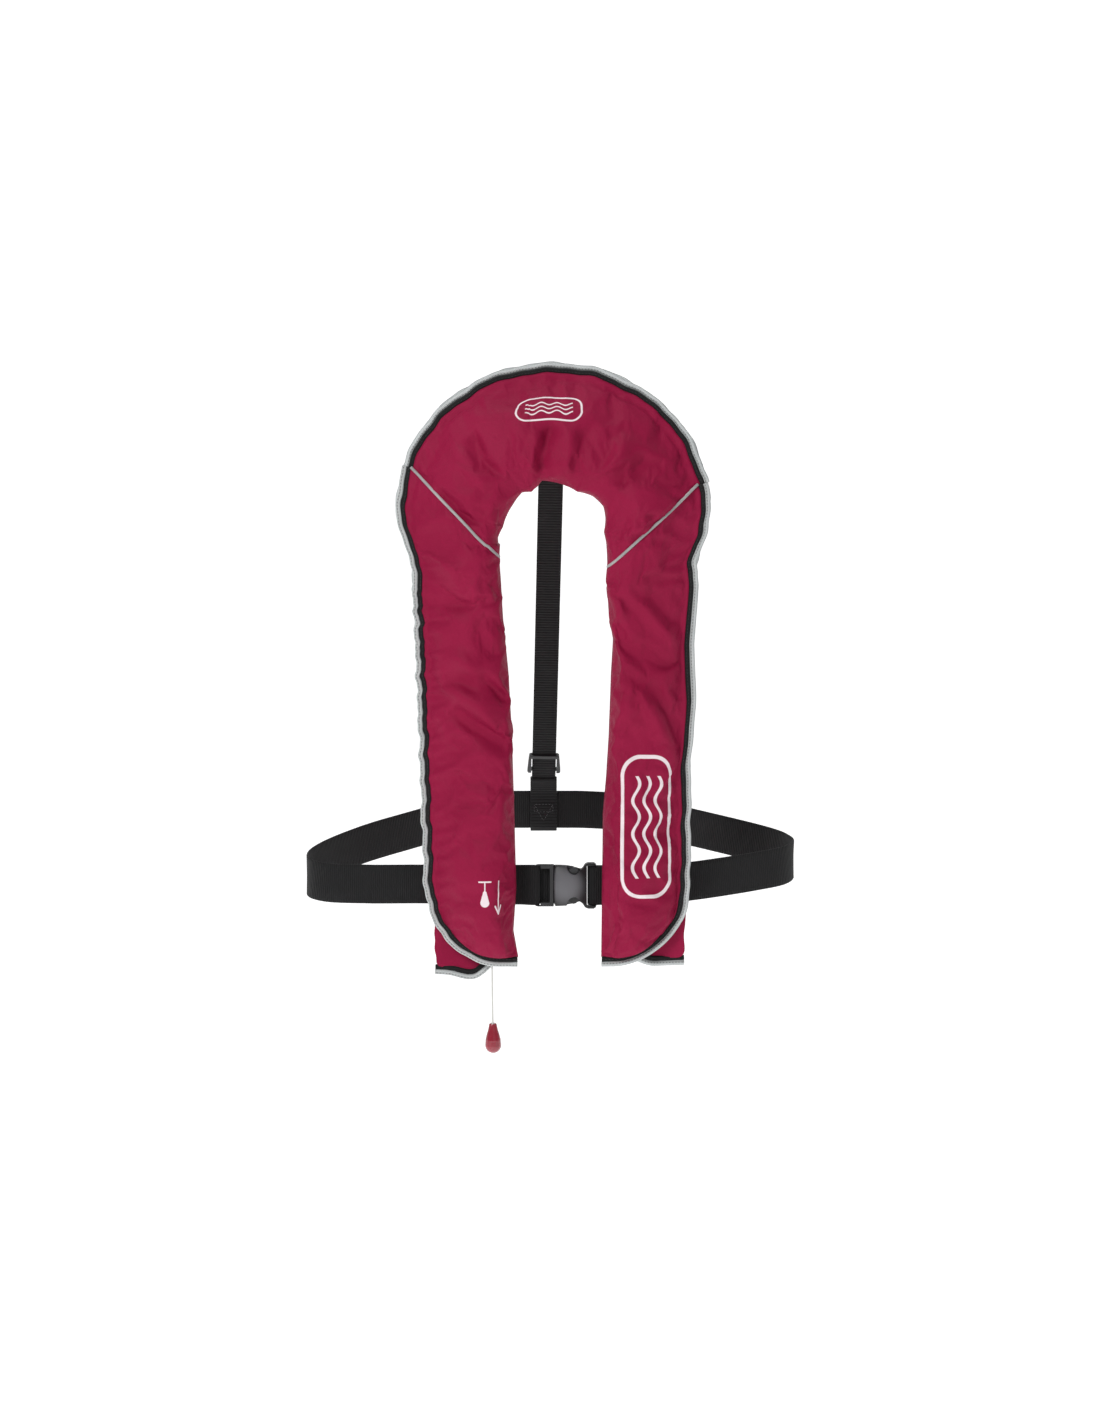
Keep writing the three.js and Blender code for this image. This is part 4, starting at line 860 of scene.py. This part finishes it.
def band(name, line, wide_way, width, thickness, crown=0.0):
    """Flat webbing along points in metres, rounded at its edges; its cut runs along and across it."""
    line, wide_way = np.asarray(line, float), np.asarray(wide_way, float)
    if wide_way.ndim == 1:
        wide_way = np.tile(wide_way, (len(line), 1))
    out = unit(np.cross(unit(np.gradient(line, axis=0)), wide_way))
    half, t = width / 2, thickness / 2
    edge = 0.25  # how much of the thickness is left at the rounded edges
    profile = [(-half, -t * edge), (-half, t * edge)]
    steps = np.linspace(-half + t, half - t, 11)
    profile += [(v, t + crown * (1 - (v / half) ** 2)) for v in steps]
    profile += [(half, t * edge), (half, -t * edge)]
    profile += [(v, -t + crown * (1 - (v / half) ** 2)) for v in steps[::-1]]
    far = travelled(line)
    points, cut = [], []
    for i in range(len(line)):
        for v, h in profile:
            points.append(line[i] + wide_way[i] * v + out[i] * h)
            cut.append((far[i], v))
    return lofted(name, points, cut, len(profile))


def rear_rise(x, z, sign):
    """The back panel's bottom edge rises towards the jacket's middle; the right one sags a little first."""
    low = smooth(-z, 380, 480)
    if sign > 0:
        return 20 * low * smooth(-np.abs(x), -102, -50)
    sag = np.exp(-(((np.abs(x) - 86) / 15) ** 2))
    return low * (22 * smooth(-np.abs(x), -82, -44) - 4.5 * sag)


def trim_line(flat, rear, sign, deeper=0.0):
    """The outer edge's trim in space, ruffled as the cloth is."""
    flat = evenly(flat, TRIM_COUNT)
    x, z = flat[:, 0] * (sign or 1), flat[:, 1]
    radial = away(x, z)
    out = ruffled(x, z, rear, sign)
    off = PIPING_Y + parting(z) + deeper
    y = (off if rear else -off) + edge_lift(x, z, rear, sign) + drape(x, z)
    if sign:
        z = z + (rear_rise(x, z, sign) if rear else 0)
        inner = np.interp(-z, *np.array(INNER_DRIFT[sign]).T) * smooth(-np.abs(x), -60, -42)
        x = x + sign * (inner + outer_push(x, z, sign))
    return np.stack([x + radial[:, 0] * out, y, z + radial[:, 1] * out], -1) * MM


def hinged(made, name):
    """Bakes a front flap's piece's placement into its mesh."""
    name + "_flap"
    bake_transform(made)


def finished(piece, finish, old, body=None):
    """Gives a piece its finish in a new slot, hides the part it stands for and attaches it to the body it
    rides on.
    """
    piece.data.materials.append(finish)
    if old:
        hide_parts(old)
    if body:
        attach(piece, body)
    return piece


def joined(name, pieces):
    """Several meshes as one object."""
    if len(pieces) > 1:
        with bpy.context.temp_override(active_object=pieces[0], selected_editable_objects=pieces):
            bpy.ops.object.join()
    pieces[0].name = pieces[0].data.name = name
    return pieces[0]


def stitches(name, line, length, space, radius):
    """A row of thread: short rounded bars laid along points in metres."""
    line = np.asarray(line, float)
    far = travelled(line)
    starts = np.arange(space, far[-1] - length, length + space)
    one, two = (
        np.stack([np.interp(at, far, line[:, i]) for i in range(3)], -1) for at in (starts, starts + length)
    )
    way = unit(two - one)
    across = unit(np.cross(way, FACING))
    front = np.cross(across, way)
    shares, swells = (0.0, 0.18, 0.82, 1.0), (0.35, 1.0, 1.0, 0.35)
    points, faces = [], []
    for i in range(len(starts)):
        base = len(points)
        for share, fat in zip(shares, swells):
            middle = one[i] + (two[i] - one[i]) * share
            for k in range(6):
                a = math.pi * k / 3
                points.append(middle + radius * fat * (math.cos(a) * across[i] + math.sin(a) * front[i]))
        for ring in range(3):
            for k in range(6):
                a, b = base + ring * 6 + k, base + ring * 6 + (k + 1) % 6
                faces.append((a, b, b + 6, a + 6))
        faces.append(tuple(base + k for k in range(5, -1, -1)))
        faces.append(tuple(base + 18 + k for k in range(6)))
    return mesh_object(name, points, faces)


def shortened(outline, inset, sign, rear):
    """The back panels' trim comes in two lengths: down the side behind the flap, then along the bottom."""
    if not (rear and sign):
        return [outline(inset)]
    flat = evenly(outline(inset), 700)
    low, out = flat[:, 1].min(), flat[flat[:, 1] < -470][:, 0].max() + inset - 1.2
    return [flat[flat[:, 1] > -405], np.array([(out, low), (flat[-1, 0] + 6, low)])]


TRIM_COUNT = 260  # places along each run of trim


def trims(node, outline, sign, rear):
    """The silver piping, the black edging inside it and its row of thread."""
    silver_runs, black_runs = [], []
    for flat in shortened(outline, PIPING_DIA / 2, sign, rear):
        line = trim_line(flat, rear, sign)
        silver_runs.append(tube("run", line, PIPING_DIA / 2 * MM, 12, 0.86))
    thread = []
    for flat in shortened(outline, PIPING_DIA + BINDING_WIDE / 2, sign, rear):
        line = trim_line(flat, rear, sign, 0.5)
        way = unit(np.cross(unit(np.gradient(line, axis=0)), FACING))
        black_runs.append(band("run", line, way, (BINDING_WIDE + 0.9) * MM, 0.0026, 0.0003))
        lifted = line + np.array([0, (0.0014 if rear else -0.0014), 0])
        thread.append(stitches("run", lifted, 0.0022, 0.0012, 0.00028))
    return [
        finished(joined(node + "_silver", silver_runs), silver, node + "_piping"),
        finished(joined(node + "_black", black_runs), edge_black, node + "_binding"),
        finished(joined(node + "_thread", thread), dark_thread, None),
    ]


def thread_finish():
    finish = Finish("black_thread", Roughness=0.5, Sheen_Weight=0.3)
    place = finish.place()
    twist = finish.noise(place, 2600, 2)
    finish.feed("Base Color", finish.mix(twist, linear(26, 26, 28), linear(70, 70, 73)))
    finish.feed("Roughness", twist * 0.2 + 0.45)
    return finish.material


dark_thread = thread_finish()
grey_cord = moulded("shoulder_grey", (150, 148, 148), (170, 168, 168), 0.5, 0.0, 1500)
seam_lines = {}
for rear in (False, True):
    face = "back_panel" if rear else "front_flap"
    for name, side in SIDES.items():
        node = f"{name}_{face}"
        grid = lobe_grid(side, rear, ROWS, COLUMNS)
        look = plain_nylon if rear else FINISHES[name]
        cover, points = cover_face(node + "_cloth", grid, rear, side["sign"], look, node)
        pieces = [cover] + trims(node, lambda inset: edge_line(side, inset, rear), side["sign"], rear)
        for piece in pieces:
            if rear:
                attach(piece, "jacket")
            else:
                hinged(piece, name)
        if not rear:
            seam_lines[name] = points[0]
    node = "collar_back" if rear else "collar_front"
    look = plain_nylon if rear else FINISHES["collar"]
    cover = cover_face(node + "_cloth", collar_grid(rear, COLLAR_ROWS, COLUMNS), rear, 0, look, node)[0]
    for piece in [cover] + trims(node, collar_line, 0, rear):
        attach(piece, "jacket")

# Grey piping over the shoulder seams.
for name, line in seam_lines.items():
    raised = evenly(line[1:], 90) + np.array([0, -0.0007, 0.0006])
    cord = tube(name + "_shoulder_grey", raised, 0.0015, 10)
    finished(cord, grey_cord, name + "_shoulder_piping", "jacket")

# ---- Webbing ----
belt_web = black_webbing("belt_webbing")
strap_web = black_webbing("strap_webbing", 3.2)
BELT_WIDE, WEB_THICK, BELT_Z, BELT_TILT, BELT_FRONT, BELT_BACK = 40, 1.6, -408, 0.215, 23, 235


def belt_z(y):
    return BELT_Z + BELT_TILT * np.maximum(0, y - BELT_FRONT - 6)


def spline(points, count):
    """A centripetal curve through points, evenly sampled."""
    p = np.asarray(points, float)
    p = np.concatenate([[2 * p[0] - p[1]], p, [2 * p[-1] - p[-2]]])
    out = []
    for i in range(1, len(p) - 2):
        q = p[i - 1:i + 3]
        t = np.concatenate([[0], np.cumsum(np.sqrt(np.linalg.norm(np.diff(q, axis=0), axis=1)))])
        for u in np.linspace(t[1], t[2], 24, endpoint=False):
            a = [(q[j] * (t[j + 1] - u) + q[j + 1] * (u - t[j])) / (t[j + 1] - t[j]) for j in range(3)]
            b = [(a[j] * (t[j + 2] - u) + a[j + 1] * (u - t[j])) / (t[j + 2] - t[j]) for j in range(2)]
            out.append((b[0] * (t[2] - u) + b[1] * (u - t[1])) / (t[2] - t[1]))
    out.append(p[-2])
    return evenly(out, count)


def belt_length(name, plan, count, old, body):
    line = spline([(x, y, belt_z(y)) for x, y in plan], count)
    tangent = unit(np.gradient(line, axis=0))
    way = unit(np.array([0, 0, 1.0]) - tangent * tangent[:, 2:])
    made = band(name, line * MM, way, BELT_WIDE * MM, WEB_THICK * MM)
    finished(made, belt_web, old, body)


F, B = BELT_FRONT, BELT_BACK  # the depths of the belt's front and back runs
BELT_PLAN = [
    (64, F + 3), (42.5, F + 3), (39, F + 3), (34.5, F), (39, F - 3), (42.5, F - 3),
    (56, F - 1), (66, F), (100, F), (138, F + 13), (205, F + 39), (238, F + 57), (247, F + 74),
    (240, F + 91), (226, F + 106), (138, F + 166),
    (80, B - 10), (34, B - 0.6), (12, B), (-32, B), (-52, B - 0.6), (-94, B - 10), (-134, F + 165),
    (-196, F + 114), (-238, F + 66), (-250, F + 40), (-248, F + 23), (-232, F + 11), (-190, F + 6.2),
    (-138, F + 6.2), (-100, F + 5.2), (-60, F + 5.2), (-30, F + 5.2), (6, F + 5.2),
]
WRAP_PLAN = [
    (-44, F + 3), (-32, F + 3), (-21, F + 3), (-17.5, F + 3), (-14.1, F), (-17.5, F - 3), (-21, F - 3),
    (-28, F - 1), (-34, F + 0.2), (-42, F + 0.2),
]
belt_length("belt_run", BELT_PLAN, 360, "waist_belt", "jacket")
belt_length("belt_wrapped_end", WRAP_PLAN, 60, "belt_wrap", "male_half")

STRAP_HEAD = np.array([-2, 30, 18.0])
STRAP_FOOT = np.array([-10, B - 12, belt_z(B) + BELT_WIDE / 2 + 14])
strap_way = unit(STRAP_FOOT - STRAP_HEAD)
strap_across = unit(np.array([1.0, 0, 0]) - strap_way * strap_way[0])
strap_out = np.cross(strap_across, strap_way)
strap_line = STRAP_HEAD + (STRAP_FOOT - STRAP_HEAD) * np.linspace(0, 1, 60)[:, None]
strap = band("back_strap_webbing", strap_line * MM, strap_across, 25 * MM, WEB_THICK * MM)
finished(strap, strap_web, "back_strap", "jacket")


def hanger():
    """The band that carries the belt: down its front, under it and up its back, with a box of stitches."""
    half, y, z = BELT_WIDE / 2 + 2.4, B, belt_z(B)
    gap = WEB_THICK * 1.5 + 0.4
    one = STRAP_FOOT - strap_out * (WEB_THICK + 0.4)
    two = STRAP_FOOT + strap_out * (WEB_THICK + 0.4)
    near, far = (one, two) if one[1] < two[1] else (two, one)
    up = -2 * strap_way
    points = [
        near + up, near, (-10, y - gap - 1, z + half - 4), (-10, y - gap, z), (-10, y - gap, z - half + 4),
        (-10, y, z - half), (-10, y + gap, z - half + 4), (-10, y + gap, z), (-10, y + gap, z + half - 2),
        far, far + up,
    ]
    line = spline(points, 130) * MM
    made = band("hanger_webbing", line, (1.0, 0, 0), 28 * MM, WEB_THICK * MM)
    finished(made, strap_web, "hanger_loop", "jacket")
    face = y - gap - 1.1
    corners = [(-20, z + 6), (0, z + 6), (0, z - 2), (-20, z - 2), (-20, z + 6), (-10, z - 12), (0, z + 6)]
    box = evenly([(x, face, h) for x, h in corners], 120) * MM
    box = stitches("hanger_stitch_box", box, 0.0024, 0.0011, 0.0003)
    finished(box, dark_thread, None, "jacket")


hanger()


KEEPER_X = 84


def belt_keeper(name, sign):
    """A flat loop of webbing behind a lobe that the belt runs through."""
    x, y = sign * KEEPER_X, F + (5.2 if sign < 0 else 0)
    front = KEEPER_X ** 2 / (2 * CHEST_RADIUS) + REAR_SWELL + 1.8
    back, tall = y + WEB_THICK + 2, BELT_WIDE / 2 + 2
    around = [(front, 0), (front, tall - 3), ((front + back) / 2, tall), (back, tall - 3), (back, -tall + 3),
              ((front + back) / 2, -tall), (front, -tall + 3), (front, -0.5)]
    line = np.array([(x, b, BELT_Z + h) for b, h in spline([(a, h, 0) for a, h in around], 90)[:, :2]])
    made = band(name + "_keeper_webbing", line * MM, (1.0, 0, 0), 24 * MM, 1.4 * MM)
    finished(made, strap_web, name + "_belt_loop", "jacket")


for name, side in SIDES.items():
    belt_keeper(name, side["sign"])


TAPE_TOP, TAPE_LOW = -105, -395


def fastener(name, side, rear):
    """A strip of hook or loop tape inside the flap's edge."""
    sign = side["sign"]
    flat = edge_line(side, COVER_INSET + 2 + 3.5, rear)
    flat = evenly(flat[(flat[:, 1] < TAPE_TOP) & (flat[:, 1] > TAPE_LOW)], 160)
    x, z = flat[:, 0] * sign, flat[:, 1]
    lift = edge_lift(x, z, rear, sign)
    line = np.stack([x, (1.6 if rear else -1.6) + lift + drape(x, z), z], -1) * MM
    way = unit(np.cross(unit(np.gradient(line, axis=0)), FACING))
    return band(name, line, way, 7 * MM, 1.3 * MM)


def nap(name, loops):
    finish = Finish(name, Specular_IOR_Level=0.2, Sheen_Weight=0.3)
    cut = finish.uv()
    pile = finish.node("ShaderNodeTexVoronoi", None, {"Vector": cut, "Scale": 900 if loops else 650})
    pile = Field(finish, pile.outputs["Distance"])
    # Painted shade: the colour darkens from each tuft's raised middle towards the hollows between tufts.
    finish.feed("Base Color", finish.mix(pile.ramp(0, 0.8), linear(42, 42, 44), linear(14, 14, 15)))
    finish.feed("Roughness", pile * 0.2 + 0.7)
    finish.bump(1 - pile, 0.0006)
    return finish.material


hook_face, loop_face = nap("hook_face", False), nap("loop_face", True)
for name, side in SIDES.items():
    hooks, loops = fastener(name + "_hooks", side, False), fastener(name + "_loops", side, True)
    hinged(finished(hooks, hook_face, name + "_hook_tape"), name)
    finished(loops, loop_face, name + "_loop_tape", "jacket")

# ---- The bladder, folded flat inside ----
BLADDER_HALF, BLADDER_COLLAR = 19.5, 27  # half widths in the lobes and in the collar
THICK_COLLAR, THICK_LOBE, MIDDLE_COLLAR, MIDDLE_LOBE = 9, 1.9, -5, 5.4


def bladder():
    over = [tuple(p) for p in arc(0, -60, 89, 112, 180, 0, 60)]
    line = evenly([(-75, -452), (-85, -90)] + over + [(85, -90), (75, -452)], 220)
    low = line[:, 1].min()
    tangent = unit(np.gradient(line, axis=0))
    ring = 28
    points, cut = [], []
    far = travelled(line)
    for i, (x0, z0) in enumerate(line):
        thin = float(smooth(-z0, 125, 175))
        half = BLADDER_COLLAR + (BLADDER_HALF - BLADDER_COLLAR) * float(smooth(-z0, 20, 150))
        height = THICK_COLLAR + (THICK_LOBE - THICK_COLLAR) * thin
        middle = MIDDLE_COLLAR + (MIDDLE_LOBE - MIDDLE_COLLAR) * thin
        end = 1 - 0.25 * float(smooth(-z0, low * -1 - 14, low * -1))
        for k in range(ring):
            a = 2 * math.pi * k / ring
            across = half * end * math.cos(a)
            pleat = 0.62 + 0.10 * math.sin(across * 0.55) + 0.07 * math.sin(i * 0.9 + across * 0.12)
            x, z = x0 - tangent[i, 1] * across, z0 + tangent[i, 0] * across
            rise = height * math.copysign(abs(math.sin(a)) ** 0.6, math.sin(a)) * pleat
            points.append((x, middle + rise + float(drape(np.array(x), np.array(z))), z))
            cut.append((far[i] * MM, across * MM))
    made = lofted("folded_bladder", np.array(points) * MM, cut, ring, flip=True)
    finished(made, chamber_cloth(), "bladder", "jacket")


bladder()

# ---- Hard parts ----
plastic = moulded("buckle_black", (28, 28, 30), (42, 42, 45), 0.34, 0.2)
dark_rubber = moulded("black_rubber", (26, 26, 27), (38, 38, 39), 0.55, 0.0, 500)
crimson_plastic = moulded("toggle_crimson", (140, 10, 38), (152, 16, 46), 0.14, 0.9)
steel = metal("valve_steel", (190, 193, 198), 0.25)
zinc = metal("cylinder_zinc", (150, 158, 154), 0.32)
orange = moulded("whistle_orange", (222, 96, 26), (232, 116, 40), 0.3, 0.3)
green = moulded("clip_green", (46, 140, 70), (60, 156, 84), 0.4, 0.2)

LANYARD = [(99, -1.39, -319.6), (95, -1.39, -326), (91, -1.39, -322), (87, -3.39, -306)]
lanyard = tube("whistle_lanyard_braid", spline(LANYARD, 40) * MM, 0.0009, 10)
finished(lanyard, white_braid(), "whistle_lanyard", "jacket")

HARD_PARTS = [
    (plastic, ("strap_slider", "buckle_male", "prong_upper", "prong_lower")),
    (domed_plastic(), ("buckle_female",)),
    (crimson_plastic, ("pull_toggle", "inflator_lever", "oral_valve_poppet")),
    (dark_rubber, ("inflator_body", "oral_flange", "oral_tube", "oral_valve_body", "mouthpiece_cap")),
    (steel, ("lever_pin", "manifold_valve", "stem_nut", "piercing_pin")),
    (zinc, ("co2_cylinder",)),
    (orange, ("whistle",)),
    (green, ("indicator_clip",)),
]
for finish, nodes in HARD_PARTS:
    for node in nodes:
        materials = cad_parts[node].data.materials
        materials.clear()
        materials.append(finish)
